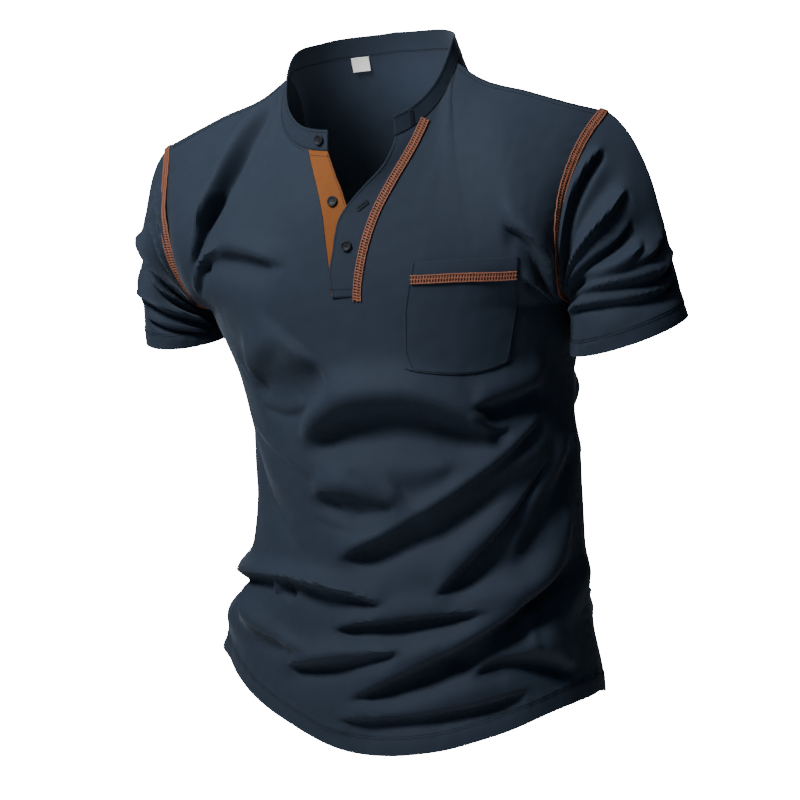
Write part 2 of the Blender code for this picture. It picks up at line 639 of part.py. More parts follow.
def cloth_solid(name, grid, normal, material, keep=None, closed=False, wall=WALL,
                gap=SEAM_GAP / 2.0):
    """A closed wall of even thickness round a grid of points; keep marks the cells used."""
    rows, columns = grid.shape[:2]
    cells = columns if closed else columns - 1
    faces = []
    for i in range(rows - 1):
        for j in range(cells):
            if keep is None or keep[i][j]:
                right = (j + 1) % columns
                faces.append((i * columns + j, i * columns + right,
                              (i + 1) * columns + right, (i + 1) * columns + j))
    points = pull_back(grid.reshape(-1, 3), faces, gap)
    half = normal.reshape(-1, 3) * wall / 2.0
    used = sorted({vertex for face in faces for vertex in face})
    number = {vertex: place for place, vertex in enumerate(used)}
    count = len(used)
    vertices = np.concatenate([(points + half)[used], (points - half)[used]])
    shell = []
    for face in faces:
        a, b, c, d = (number[v] for v in face)
        shell += [[a, b, c], [a, c, d]]
        shell += [[c + count, b + count, a + count], [d + count, c + count, a + count]]
    for (start, end), _ in boundary(faces):
        a, b = number[start], number[end]
        shell += [[b, a, a + count], [b, a + count, b + count]]
    return add_object(name, vertices, shell, material)


def add_object(name, vertices, faces, material):
    mesh = bpy.data.meshes.new(name)
    mesh.from_pydata([tuple(map(float, v)) for v in vertices], [], faces)
    mesh.materials.append(material)
    mesh.shade_smooth()
    mesh.set_sharp_from_angle(angle=np.radians(50.0))
    mesh.update()
    made = bpy.data.objects.new(name, mesh)
    bpy.context.collection.objects.link(made)
    return made


def make_material(name, colour, roughness):
    material = bpy.data.materials.new(name)
    material.use_nodes = True
    shader = material.node_tree.nodes["Principled BSDF"]
    shader.inputs["Base Color"].default_value = (*colour, 1.0)
    shader.inputs["Roughness"].default_value = roughness
    shader.inputs["Metallic"].default_value = 0.0
    return material


def grid_frame(grid, normal, row, col):
    """Place, normal and upward direction at a fractional row and column of a grid."""
    i, j = int(row), int(col)
    s, t = row - i, col - j

    def mix(values):
        low = values[i, j] * (1 - t) + values[i, j + 1] * t
        high = values[i + 1, j] * (1 - t) + values[i + 1, j + 1] * t
        return low * (1 - s) + high * s

    upward = (grid[i + 1, j] - grid[i, j]) * (1 - t) + (grid[i + 1, j + 1] - grid[i, j + 1]) * t
    out = mix(normal)
    out /= np.linalg.norm(out)
    upward -= out * upward.dot(out)
    return mix(grid), out, upward / np.linalg.norm(upward)


# Where the buttons stand: row and column of their piece's grid; the collar's from its tab end.
TAB_PLACE = (1.5, 2.2)
MIDDLE_PLACE = (7.6, 1.6)
LOWER_PLACE = (3.9, 1.3)

# Turned profile of a button from the middle of its back to the middle of its dished face:
# share of the radius and share of the thickness.
# Columns: radius, height
BUTTON_PROFILE = (
    (0.80, 0.00), (0.97, 0.22), (1.00, 0.55), (0.92, 0.90), (0.80, 1.00), (0.68, 0.90),
    (0.60, 0.66),
)


def button(name, place, out, upward, material):
    """A dished button standing on the cloth at a place, with a slight gap under it."""
    across = np.cross(upward, out)
    base = place + out * (WALL / 2.0 + LAY_GAP)
    angles = np.arange(BUTTON_SIDES) * 2.0 * np.pi / BUTTON_SIDES
    circle = np.cos(angles)[:, None] * across + np.sin(angles)[:, None] * upward
    vertices = [base]
    for radius, height in BUTTON_PROFILE:
        ring = base + circle * radius * BUTTON_RADIUS + out * height * BUTTON_THICKNESS
        vertices.extend(ring)
    vertices.append(base + out * BUTTON_PROFILE[-1][1] * BUTTON_THICKNESS)
    faces = []
    rings = len(BUTTON_PROFILE)
    for k in range(BUTTON_SIDES):
        after = (k + 1) % BUTTON_SIDES
        faces.append([0, 1 + after, 1 + k])
        for r in range(rings - 1):
            low, high = 1 + r * BUTTON_SIDES, 1 + (r + 1) * BUTTON_SIDES
            faces.append([low + k, low + after, high + after, high + k])
        last = 1 + (rings - 1) * BUTTON_SIDES
        faces.append([last + k, last + after, len(vertices) - 1])
    return add_object(name, vertices, faces, material)


def pocket_grid(front, normal):
    """Patch pocket: the panel's own points under it, moved out, with a curved bottom row."""
    knots = np.cumsum((0,) + KEY_CELLS)
    first, last = knots[4], knots[6]
    points = front[POCKET_ROWS[0]:POCKET_ROWS[1] + 1, first:last + 1]
    normals = normal[POCKET_ROWS[0]:POCKET_ROWS[1] + 1, first:last + 1]
    share = np.linspace(0.0, 1.0, last - first + 1)
    below = POCKET_CURVE * np.sin(np.pi * share)[:, None]**0.7 + 0.02
    under = slice(first, last + 1)
    curved = points[0] * (1 - below) + front[POCKET_ROWS[0] - 1, under] * below
    turned = normals[0] * (1 - below) + normal[POCKET_ROWS[0] - 1, under] * below
    turned /= np.linalg.norm(turned, axis=-1, keepdims=True)
    mouth = points[-1, 0, 2] + (points[-1, -1, 2] - points[-1, 0, 2]) * share
    level = ((mouth - points[-2, :, 2]) / (points[-1, :, 2] - points[-2, :, 2]))[:, None]
    level = np.clip(level, 0.1, 1.0)
    straight = points[-2] * (1 - level) + points[-1] * level
    points = np.concatenate([curved[None], points[1:-1], straight[None]])
    normals = np.concatenate([turned[None], normals[1:]])
    rows = np.linspace(0.0, 1.0, len(points))[:, None]
    bag = POCKET_BAG * smoothstep(0.62, 1.0, rows) * np.sin(np.pi * share)
    rise = WALL + LAY_GAP + POCKET_SLACK * smoothstep(0.40, 0.10, rows)
    return points + normals * (rise + bag)[..., None], normals


def label_grid(back, normal):
    """Neck label on the inside of the back, just under the collar seam."""
    row, col = len(back) - 2, SHOULDER_CELLS + BACK_NECK_CELLS // 2 + LABEL_SHIFT
    width = np.linalg.norm(back[row + 1, col + 1] - back[row + 1, col])
    height = np.linalg.norm(back[row + 1, col] - back[row, col])
    high = 1.0 - 0.0015 / height
    points, outs = [], []
    for rise in (high - LABEL_HEIGHT / height, high - LABEL_HEIGHT / height / 2.0, high):
        for slide in (0.5 - LABEL_WIDTH / width / 2.0, 0.5, 0.5 + LABEL_WIDTH / width / 2.0):
            place, out, _ = grid_frame(back, normal, row + rise, col + slide)
            points.append(place - out * (WALL / 2.0 + LAY_GAP + LABEL_THICKNESS / 2.0))
            outs.append(out)
    shape = (3, 3, 3)
    return np.array(points).reshape(shape), np.array(outs).reshape(shape)


def build():
    for old in list(bpy.data.objects):
        bpy.data.objects.remove(old)
    navy = make_material("navy jersey", (0.031, 0.048, 0.072), 0.80)
    ochre = make_material("ochre facing", (0.36, 0.12, 0.028), 0.78)
    horn = make_material("dark button", (0.020, 0.022, 0.026), 0.35)
    white = make_material("label tape", (0.78, 0.77, 0.74), 0.70)

    front, back = body_grids()
    left, right = sleeve_grid(1.0), sleeve_grid(-1.0)
    overlap, underlap = placket_grid("overlap"), placket_grid("underlap")
    collar = collar_grid(front, back, overlap, underlap)
    grids = [front, back, left, right, overlap, underlap, collar]
    closed = [False, False, True, True, False, False, False]
    normals = weld_normals(grids, [grid_normals(g, c) for g, c in zip(grids, closed)])
    n_front, n_back, n_left, n_right, n_over, n_under, n_collar = normals

    knots = np.cumsum((0,) + KEY_CELLS)
    keep = np.ones((front.shape[0] - 1, front.shape[1] - 1), bool)
    keep[BODY_ROWS + 1:, knots[2]:knots[3]] = False

    cloth_solid("front_panel", front, n_front, navy, keep=keep)
    cloth_solid("back_panel", back, n_back, navy)
    cloth_solid("sleeve_left", left, n_left, navy, closed=True, gap=SLEEVE_GAP)
    cloth_solid("sleeve_right", right, n_right, navy, closed=True, gap=SLEEVE_GAP)
    cloth_solid("collar_band", collar, n_collar, navy, gap=SEAM_GAP)
    cloth_solid("placket_overlap", overlap, n_over, navy)
    cloth_solid("placket_underlap", underlap, n_under, ochre)
    pocket, n_pocket = pocket_grid(front, n_front)
    cloth_solid("pocket", pocket, n_pocket, navy, gap=0.0)
    label, n_label = label_grid(back, n_back)
    cloth_solid("neck_label", label, n_label, white, wall=LABEL_THICKNESS, gap=0.0)

    tab = (TAB_PLACE[0], collar.shape[1] - TAB_PLACE[1])
    for name, grid, normal, place in (("button_collar", collar, n_collar, tab),
                                      ("button_middle", underlap, n_under, MIDDLE_PLACE),
                                      ("button_lower", overlap, n_over, LOWER_PLACE)):
        centre, out, upward = grid_frame(grid, normal, *place)
        button(name, centre, out, upward, horn)


build()
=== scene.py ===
"""Looks of a short-sleeved shirt with a band collar, an open buttoned placket and a chest pocket.

The cloth of every piece is cut again from the same guide surfaces as its solid, on a finer grid and
with its smaller creases, hems and seam puckers. Sewing, buttonholes and buttons are added to it.
Frame: metres, +Z up, -Y is the front, +X is the wearer's left.
"""
import functools
import math

import bpy
import numpy as np
from bpy.props import FloatProperty, FloatVectorProperty, PointerProperty
from mathutils import Matrix, Vector


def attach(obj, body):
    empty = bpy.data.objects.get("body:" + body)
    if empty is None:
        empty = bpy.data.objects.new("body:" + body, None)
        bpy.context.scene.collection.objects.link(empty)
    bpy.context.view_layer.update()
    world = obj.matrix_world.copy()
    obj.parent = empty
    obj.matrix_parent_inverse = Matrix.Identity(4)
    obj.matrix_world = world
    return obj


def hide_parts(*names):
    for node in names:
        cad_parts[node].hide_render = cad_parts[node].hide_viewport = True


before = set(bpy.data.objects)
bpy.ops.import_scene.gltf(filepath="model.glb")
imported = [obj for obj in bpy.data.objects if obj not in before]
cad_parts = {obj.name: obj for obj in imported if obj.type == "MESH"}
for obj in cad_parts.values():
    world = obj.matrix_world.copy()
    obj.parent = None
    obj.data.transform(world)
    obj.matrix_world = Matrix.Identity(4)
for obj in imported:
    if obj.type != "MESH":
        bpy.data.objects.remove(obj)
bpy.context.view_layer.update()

bl_info = {
    "name": "Band-collar shirt",
    "version": (1, 0, 0),
    "blender": (4, 5, 0),
    "location": "View3D > Sidebar > Shirt",
    "description": "Cloth, seam bands, stitching, buttonholes and buttons of a band-collar shirt",
    "category": "Object",
}

# ---------------------------------------------------------------- driving sizes (metres)
# The shirt's main sizes, the same as in the solids.
WALL = 0.0016               # cloth thickness
LAY_GAP = 0.0005            # gap under a piece that lies on a panel
NECK_HALF_WIDTH = 0.098     # seam of the collar, at the shoulder
SHOULDER_HALF_WIDTH = 0.255
UNDERARM_DROP = 0.245       # from the origin down to the underarm
SLEEVE_CLEARANCE = 0.009    # middle of the sleeve's wall to middle of the body's, at the cuff
SHOULDER_TILT = 0.028       # the wearer's left shoulder stands higher: rise per metre across
TILTED = (-0.34, -0.06)     # the rise comes in between these heights
ARMHOLE_SHIFT = 0.005       # both armhole seams are drawn to the wearer's right by the pose
COLLAR_HEIGHT = 0.022
PLACKET_LIFT = 0.0024       # the two plackets lie this far apart, middle to middle

# Cells of the solids' grids, and the cells of the looks to one of them.
BODY_ROWS = 32
YOKE_ROWS = 13
SHOULDER_CELLS = 9
BACK_NECK_CELLS = 10
SLEEVE_ROWS = 14
COLLAR_ROWS = 3
PLACKET_CELLS = 3
FINER = 5

# Pocket and label.
POCKET_WALL = 0.0010
POCKET_ROWS = (28, 35)      # rows of the body's grid at the pocket's bottom and mouth
POCKET_SLACK = 0.00036      # extra room under the pocket's lower rows, over the waist folds
POCKET_GAP = 0.0001         # between the panel and the pocket's cloth
POCKET_CURVE = 0.70         # the bottom curves down by this share of a row
POCKET_BAG = 0.0030         # the pocket's mouth stands this far off the chest
LABEL_WIDTH = 0.020
LABEL_HEIGHT = 0.016
LABEL_THICKNESS = 0.0010
LABEL_DROP = 0.0015         # top of the label below the collar seam
LABEL_CURL = 0.0012         # its lower edge stands this far off the back
LABEL_SHIFT = 1             # columns of the back's grid, from the middle to the wearer's right
LABEL_CELLS = 9

# Shells and materials.
EDGE_ROUND = 0.25           # the edge stands out by this share of the wall
SHARP_ANGLE = 50.0          # edges that turn more than this stay sharp (degrees)
RIB_WIDTH = 0.0010          # ribs of the placket's facing
CLOTH_MAP = "cloth"         # the cloth's map, in metres from the middle of each piece
OUTWARD = "outward"         # attribute of a stitch path: the way off the cloth

# Buttons, their places (rows and columns of the solids' grids) and their sewing thread.
BUTTON_RADIUS = 0.0056
BUTTON_THICKNESS = 0.0024
BUTTON_SIDES = 48
BUTTON_FACE = 0.62          # height of the dished face, as a share of the thickness
BUTTON_PROFILE = (          # share of the radius and of the thickness
    (0.00, 0.00), (0.78, 0.00), (0.92, 0.10), (0.98, 0.28), (1.00, 0.52), (0.98, 0.76),
    (0.93, 0.93), (0.86, 1.00), (0.78, 0.98), (0.71, 0.88), (0.66, 0.72), (0.60, 0.64),
    (0.00, 0.62),
)
TAB_PLACE = (1.5, 2.2)
MIDDLE_PLACE = (7.6, 1.6)
LOWER_PLACE = (3.9, 1.3)
HOLE_RADIUS = 0.00055
HOLE_SIDES = 14
HOLE_STEP = 0.00095         # from the button's middle to a hole, in x and in y
BUTTON_THREAD = 0.00024     # radius of the sewing thread
BUTTON_THREAD_APART = 0.00022
BUTTON_THREAD_RISE = 0.00045
BUTTON_THREAD_SINK = 0.0001

# Buttonholes: name, piece, place on its grid, turn from upright (degrees), length.
BUTTONHOLES = (
    ("collar_buttonhole", "collar", (1.5, 1.6), 0.0, 0.014),
    ("middle_buttonhole", "overlap", (6.9, 1.5), 20.0, 0.013),
)
BUTTONHOLE_HALF = 0.0013    # from the slit to the middle of the stitches at its side
BUTTONHOLE_LIFT = 0.0002
BUTTONHOLE_SQUARE = 1.6     # how far the slit's ends are squared off
BUTTONHOLE_STEPS = 48

# Seam bands and threads.
BAND_CELLS = 6
BAND_CROWN = 0.0007
BAND_FLOOR = 0.0002
BAND_SHARE = 0.3            # the placket's band lies this share of a column past its edge
POCKET_BAND_DROP = 0.0185   # middle of the pocket's band below its mouth
BAND_THREAD = {"Radius": 0.00078, "Rise": 0.0013, "Slant": 0.0008}
TOP_THREAD = {"Length": 0.0024, "Radius": 0.00030, "Rise": 0.0006}
LABEL_THREAD = {"Pitch": 0.0016, "Length": 0.0012, "Radius": 0.00018, "Rise": 0.0003}
HOLE_THREAD = {"Pitch": 0.00075, "Width": 0.0016, "Radius": 0.00034, "Rise": 0.0007, "Slant": 0.0}

# Distances of the rows of topstitching from the edges of their pieces.
TWIN_ROWS = (0.002, 0.0045)     # back from the fold of a hem or cuff
SHOULDER_INSETS = (0.0020, 0.0065)
COLLAR_INSETS = (0.0020, COLLAR_HEIGHT - 0.0025)
NECK_INSET = 0.0030
NECK_INSIDE_INSET = 0.0010
OUTER_LAP_INSET = 0.0022
OUTER_LAP_FOOT = (0.0015, 0.0085)
UNDER_LAP_TOP = 0.0075
UNDER_LAP_INSET = 0.0020
POCKET_INSET = 0.0020

# Camera, floor and lights. Lights: name, azimuth and elevation (degrees about the point that
# the camera looks at), distance, size, colour.
CAMERA_ANGLES = (22.0, 6.0, 2.0)    # azimuth, elevation and roll (degrees)
CAMERA_DISTANCE = 2.12
CAMERA_LENS = 88.0
LOOK_AT = (0.02, -0.03, -0.348)
LIGHTS = (
    ("key light", -24.0, 46.0, 2.30, 0.60, (1.00, 0.99, 0.97)),
    ("front light", -6.0, 8.0, 2.60, 1.00, (0.72, 0.86, 1.00)),
    ("top light", 10.0, 82.0, 2.00, 1.60, (0.90, 0.95, 1.00)),
    ("back light", 196.0, 24.0, 2.60, 1.60, (1.00, 1.00, 1.00)),
)
NECK_LIGHT_AT = (0.010, 0.015, -0.020)  # inside the collar
NECK_LIGHT_RADIUS = 0.03
ROOM_COLOUR = (0.42, 0.66, 1.0)
FLOOR_REACH = 1.3
FLOOR_COLOUR = (0.86, 0.86, 0.86, 1.0)
FLOOR_ROUGHNESS = 0.9

# Sections of the body below the underarm: height, centre x and y, half width,
# depth to the front and to the back, squareness of the section (2 is an ellipse).
BODY_COLUMNS = ("height", "x", "y", "half_width", "front", "back", "square")
BODY_SECTIONS = (
    (-0.735, 0.012, 0.000, 0.220, 0.150, 0.150, 2.15),
    (-0.640, 0.013, 0.000, 0.212, 0.148, 0.142, 2.15),
    (-0.560, 0.018, -0.004, 0.196, 0.142, 0.132, 2.15),
    (-0.480, 0.028, -0.006, 0.183, 0.138, 0.124, 2.15),
    (-0.400, 0.027, -0.004, 0.182, 0.142, 0.126, 2.15),
    (-0.320, 0.018, 0.000, 0.185, 0.150, 0.134, 2.20),
    (-0.245, 0.005, 0.004, 0.205, 0.156, 0.142, 2.25),
)

# Height of the hem round the body: share across from the wearer's right side to the left,
# height on the front and on the back panel.
HEM_COLUMNS = ("across", "front", "back")
HEM = (
    (-1.0, -0.618, -0.618),
    (-0.7, -0.635, -0.650),
    (-0.5, -0.655, -0.672),
    (-0.3, -0.678, -0.690),
    (0.0, -0.709, -0.704),
    (0.2, -0.704, -0.704),
    (0.4, -0.689, -0.700),
    (0.7, -0.667, -0.684),
    (1.0, -0.664, -0.664),
)

# Armhole seam from the underarm to the shoulder tip: share of the way, half width, y, height.
ARMHOLE_COLUMNS = ("share", "half_width", "y", "height")
ARMHOLE_FRONT = (
    (0.00, 0.205, 0.004, -0.245),
    (0.12, 0.207, -0.040, -0.236),
    (0.32, 0.217, -0.074, -0.196),
    (0.60, 0.228, -0.072, -0.136),
    (0.85, 0.243, -0.038, -0.082),
    (1.00, 0.255, -0.014, -0.056),
)
ARMHOLE_BACK = (
    (0.00, 0.205, 0.004, -0.245),
    (0.12, 0.206, 0.050, -0.234),
    (0.32, 0.210, 0.082, -0.192),
    (0.60, 0.222, 0.080, -0.130),
    (0.85, 0.242, 0.040, -0.072),
    (1.00, 0.255, -0.014, -0.056),
)


def column(table, names, name):
    """One named column of a table as an array."""
    return np.array([row[names.index(name)] for row in table], dtype=float)


def spline(knots, values, at):
    """Smooth curve through the values (Catmull-Rom tangents on uneven knots)."""
    knots = np.asarray(knots, float)
    values = np.asarray(values, float)
    at = np.clip(np.asarray(at, float), knots.min(), knots.max())
    if knots[0] > knots[-1]:
        knots, values = knots[::-1], values[::-1]
    slope = np.gradient(values, knots, axis=0)
    i = np.clip(np.searchsorted(knots, at) - 1, 0, len(knots) - 2)
    span = knots[i + 1] - knots[i]
    t = (at - knots[i]) / span
    if values.ndim > 1:
        t = t[..., None]
        span = span[..., None]
    h00, h10 = 2 * t**3 - 3 * t**2 + 1, t**3 - 2 * t**2 + t
    h01, h11 = 3 * t**2 - 2 * t**3, t**3 - t**2
    return (h00 * values[i] + h10 * span * slope[i]
            + h01 * values[i + 1] + h11 * span * slope[i + 1])


def read(table, names, name, at):
    """A named column of a table, read smoothly at places in the table's first column."""
    return spline(column(table, names, names[0]), column(table, names, name), at)


def smoothstep(low, high, x):
    """Soft step from 0 at low to 1 at high; low may be the larger of the two."""
    t = np.clip((np.asarray(x, float) - low) / (high - low), 0.0, 1.0)
    return t * t * (3.0 - 2.0 * t)


def lean(point):
    """The pose: the wearer's left shoulder stands a little higher than the right one."""
    rise = SHOULDER_TILT * point[..., 0] * smoothstep(*TILTED, point[..., 2])
    return point + rise[..., None] * np.array([0.0, 0.0, 1.0])


def body_ring(turn, height):
    """Point of the body's section at a turn (radians from the centre front to the left)."""
    def at(name):
        return read(BODY_SECTIONS, BODY_COLUMNS, name, height)

    power = 2.0 / at("square")
    across, along = np.sin(turn), np.cos(turn)
    depth = np.where(along >= 0.0, at("front"), at("back"))
    x = at("x") + at("half_width") * np.sign(across) * np.abs(across)**power
    y = at("y") - depth * np.sign(along) * np.abs(along)**power
    return np.stack(np.broadcast_arrays(x, y, height), -1)


# Neck seam seen from above: turn from the centre front (degrees) and height of the seam.
NECK_Y = -0.030
NECK_FRONT_DEPTH = 0.088
NECK_BACK_DEPTH = 0.084
NECK_COLUMNS = ("turn", "height")
NECK_SEAM = (
    (0.0, -0.081),
    (35.0, -0.070),
    (65.0, -0.037),
    (90.0, 0.006),
    (125.0, 0.024),
    (180.0, 0.032),
)
NECK_SHARE = 0.44           # share of the panels' top edge that is neckline

# Shoulder seam from the collar to the tip: share of the way, y and height.
SHOULDER_COLUMNS = ("share", "y", "height")
SHOULDER_SEAM = (
    (0.00, -0.030, 0.006),
    (0.15, -0.034, -0.011),
    (0.50, -0.034, -0.030),
    (0.85, -0.024, -0.049),
    (1.00, -0.014, -0.056),
)

# Lean of the collar band towards the neck (degrees) at a turn from the centre front.
LEAN_COLUMNS = ("turn", "lean")
COLLAR_LEAN = (
    (0.0, 4.0),
    (25.0, 6.0),
    (60.0, 11.0),
    (90.0, 16.0),
    (180.0, 26.0),
)


def neck_point(turn):
    """Point of the neck seam; turn runs from the centre front, positive to the left."""
    degrees = np.abs(np.degrees(turn))
    height = read(NECK_SEAM, NECK_COLUMNS, "height", degrees)
    along = np.cos(turn)
    depth = np.where(along >= 0.0, NECK_FRONT_DEPTH, NECK_BACK_DEPTH)
    return np.stack([NECK_HALF_WIDTH * np.sin(turn), NECK_Y - depth * along, height], -1)


def shoulder_point(share, side):
    """Point of the shoulder seam, from the collar (0) to the sleeve (1)."""
    y = read(SHOULDER_SEAM, SHOULDER_COLUMNS, "y", share)
    z = read(SHOULDER_SEAM, SHOULDER_COLUMNS, "height", share)
    x = side * (NECK_HALF_WIDTH + share * (SHOULDER_HALF_WIDTH - NECK_HALF_WIDTH))
    return np.stack([x, y, z], -1)


def top_edge(across, back):
    """Top edge of a body panel: neckline in the middle, shoulder seams at the sides."""
    reach = np.abs(across)
    side = np.sign(across)
    turn = reach / NECK_SHARE * np.pi / 2.0
    turn = np.where(reach < NECK_SHARE, turn, np.pi / 2.0)
    neck = neck_point(np.where(back, np.pi - turn, turn))
    neck = neck * np.stack([side, np.ones_like(side), np.ones_like(side)], -1)
    share = np.clip((reach - NECK_SHARE) / (1.0 - NECK_SHARE), 0.0, 1.0)
    shoulder = shoulder_point(share, side)
    return np.where((reach < NECK_SHARE)[..., None], neck, shoulder)


def armhole_point(share, side, back):
    """Point of the armhole seam on one panel, from the underarm (0) to the shoulder tip (1)."""
    table = ARMHOLE_BACK if back else ARMHOLE_FRONT
    shift = BODY_SECTIONS[-1][BODY_COLUMNS.index("x")] * smoothstep(1.0, 0.0, share)
    shift = shift - ARMHOLE_SHIFT * np.sin(np.pi * np.asarray(share))
    x = side * read(table, ARMHOLE_COLUMNS, "half_width", share) + shift
    y = read(table, ARMHOLE_COLUMNS, "y", share)
    z = read(table, ARMHOLE_COLUMNS, "height", share)
    return np.stack(np.broadcast_arrays(x, y, z), -1)


def hermite(start, start_pull, end, end_pull, share):
    """Curve between two points with a given pull at each end."""
    t = np.asarray(share, float)[..., None]
    return ((2 * t**3 - 3 * t**2 + 1) * start + (t**3 - 2 * t**2 + t) * start_pull
            + (3 * t**2 - 2 * t**3) * end + (t**3 - t**2) * end_pull)


# How the cloth of a panel arrives at its top edge: angle up from level (degrees) and pull at
# the neck, and what each loses towards the shoulder.
ARRIVE_FRONT = (62.0, 30.0, 0.95, 0.10)
ARRIVE_BACK = (70.0, 110.0, 0.95, 0.38)
LEAVE_PULL = 1.05
YOKE_FOOT = 0.03            # the cloth leaves the underarm height along this length below it


def panel_turn(across, back):
    """Turn round the body's section at a share across a panel."""
    turn = across * np.pi / 2.0
    return np.where(back, np.pi - turn, turn)


def hem_height(across, back):
    """Height of the hem at a share across a panel."""
    return read(HEM, HEM_COLUMNS, "back" if back else "front", across)


def yoke_plain(across, share, back):
    """Upper part of a panel, from the underarm height up to the neckline and the shoulders."""
    turn = panel_turn(across, back)
    base = body_ring(turn, np.full_like(turn, -UNDERARM_DROP))
    below = body_ring(turn, np.full_like(turn, -UNDERARM_DROP - YOKE_FOOT))
    top = top_edge(across, back)
    reach = np.linalg.norm(top - base, axis=-1, keepdims=True)
    rise = (base - below) / np.linalg.norm(base - below, axis=-1, keepdims=True)
    # at the shoulders the front cloth arrives going up and back, the back cloth comes over
    over = smoothstep(0.20, 0.70, np.abs(across))
    angle, angle_loss, pull, pull_loss = ARRIVE_BACK if back else ARRIVE_FRONT
    tilt = np.radians(angle - angle_loss * over)
    forward = -1.0 if back else 1.0
    arrive = np.stack([np.zeros_like(tilt), forward * np.cos(tilt), np.sin(tilt)], -1)
    strength = (pull - pull_loss * over)[..., None]
    return hermite(base, rise * reach * LEAVE_PULL, top, arrive * reach * strength, share)


def panel_point(across, up, back):
    """Body panel: across runs -1..1 from side to side, up runs 0..1 hem to underarm height
    and 1..2 from there to the neckline and shoulders."""
    across, up = np.broadcast_arrays(np.asarray(across, float), np.asarray(up, float))
    hem = hem_height(across, back)
    height = hem + (-UNDERARM_DROP - hem) * np.clip(up, 0.0, 1.0)
    lower = body_ring(panel_turn(across, back), height)
    share = np.clip(up - 1.0, 0.0, 1.0)
    upper = yoke_plain(across, share, back)
    side = np.where(across < 0, -1.0, 1.0)
    edge = armhole_point(share, side, back)
    drift = edge - yoke_plain(side, share, back)
    upper = upper + drift * smoothstep(0.35, 1.0, np.abs(across))[..., None]
    return lean(np.where((up <= 1.0)[..., None], lower, upper))


# Sleeve ends: centre of the cuff ring, arm direction (degrees out from straight down and
# forward), half width across the arm, half depth.
CUFF_COLUMNS = ("side", "x", "y", "z", "out", "front", "half_width", "half_depth")
CUFFS = (
    (1.0, 0.273, -0.014, -0.281, 15.0, -10.0, 0.063, 0.060),
    (-1.0, -0.243, -0.002, -0.276, 3.0, -10.0, 0.045, 0.072),
)
LEAVE_UNDERARM = (0.95, 0.30)   # how the sleeve leaves its seam: outwards and down
LEAVE_SHOULDER = (0.72, 0.56)


def cuff_point(around, side):
    """Cuff ring; around runs 0..1 underarm, front, outer, back, underarm."""
    row = CUFFS[0] if side > 0 else CUFFS[1]
    value = dict(zip(CUFF_COLUMNS, row))
    out = np.radians(value["out"])
    front = np.radians(value["front"])
    arm = np.array([side * np.sin(out), -np.sin(front), -np.cos(out)])
    arm /= np.linalg.norm(arm)
    outer = np.array([side * np.cos(out), 0.0, np.sin(out)])
    ahead = np.cross(arm, outer) * side
    centre = np.array([value["x"], value["y"], value["z"]])
    angle = np.asarray(around, float) * 2.0 * np.pi
    point = (centre - value["half_width"] * np.cos(angle)[..., None] * outer
             + value["half_depth"] * np.sin(angle)[..., None] * ahead)
    return point, arm


def sleeve_point(around, down, side):
    """Sleeve: around as on the cuff, down runs 0..1 from the armhole seam to the cuff."""
    around, down = np.broadcast_arrays(np.asarray(around, float), np.asarray(down, float))
    front_share = np.clip(around * 2.0, 0.0, 1.0)
    back_share = np.clip(2.0 - around * 2.0, 0.0, 1.0)
    front_edge = armhole_point(front_share, side, False)
    back_edge = armhole_point(back_share, side, True)
    start = np.where((around <= 0.5)[..., None], front_edge, back_edge)
    end, arm = cuff_point(around, side)
    reach = np.linalg.norm(end - start, axis=-1, keepdims=True)
    crown = (0.5 - 0.5 * np.cos(around * 2.0 * np.pi))[..., None]
    ways = [np.array([side * out, 0.0, -fall]) for out, fall in (LEAVE_UNDERARM, LEAVE_SHOULDER)]
    leave = ways[0] + (ways[1] - ways[0]) * crown
    return lean(hermite(start, leave * reach, end, arm * reach, down))


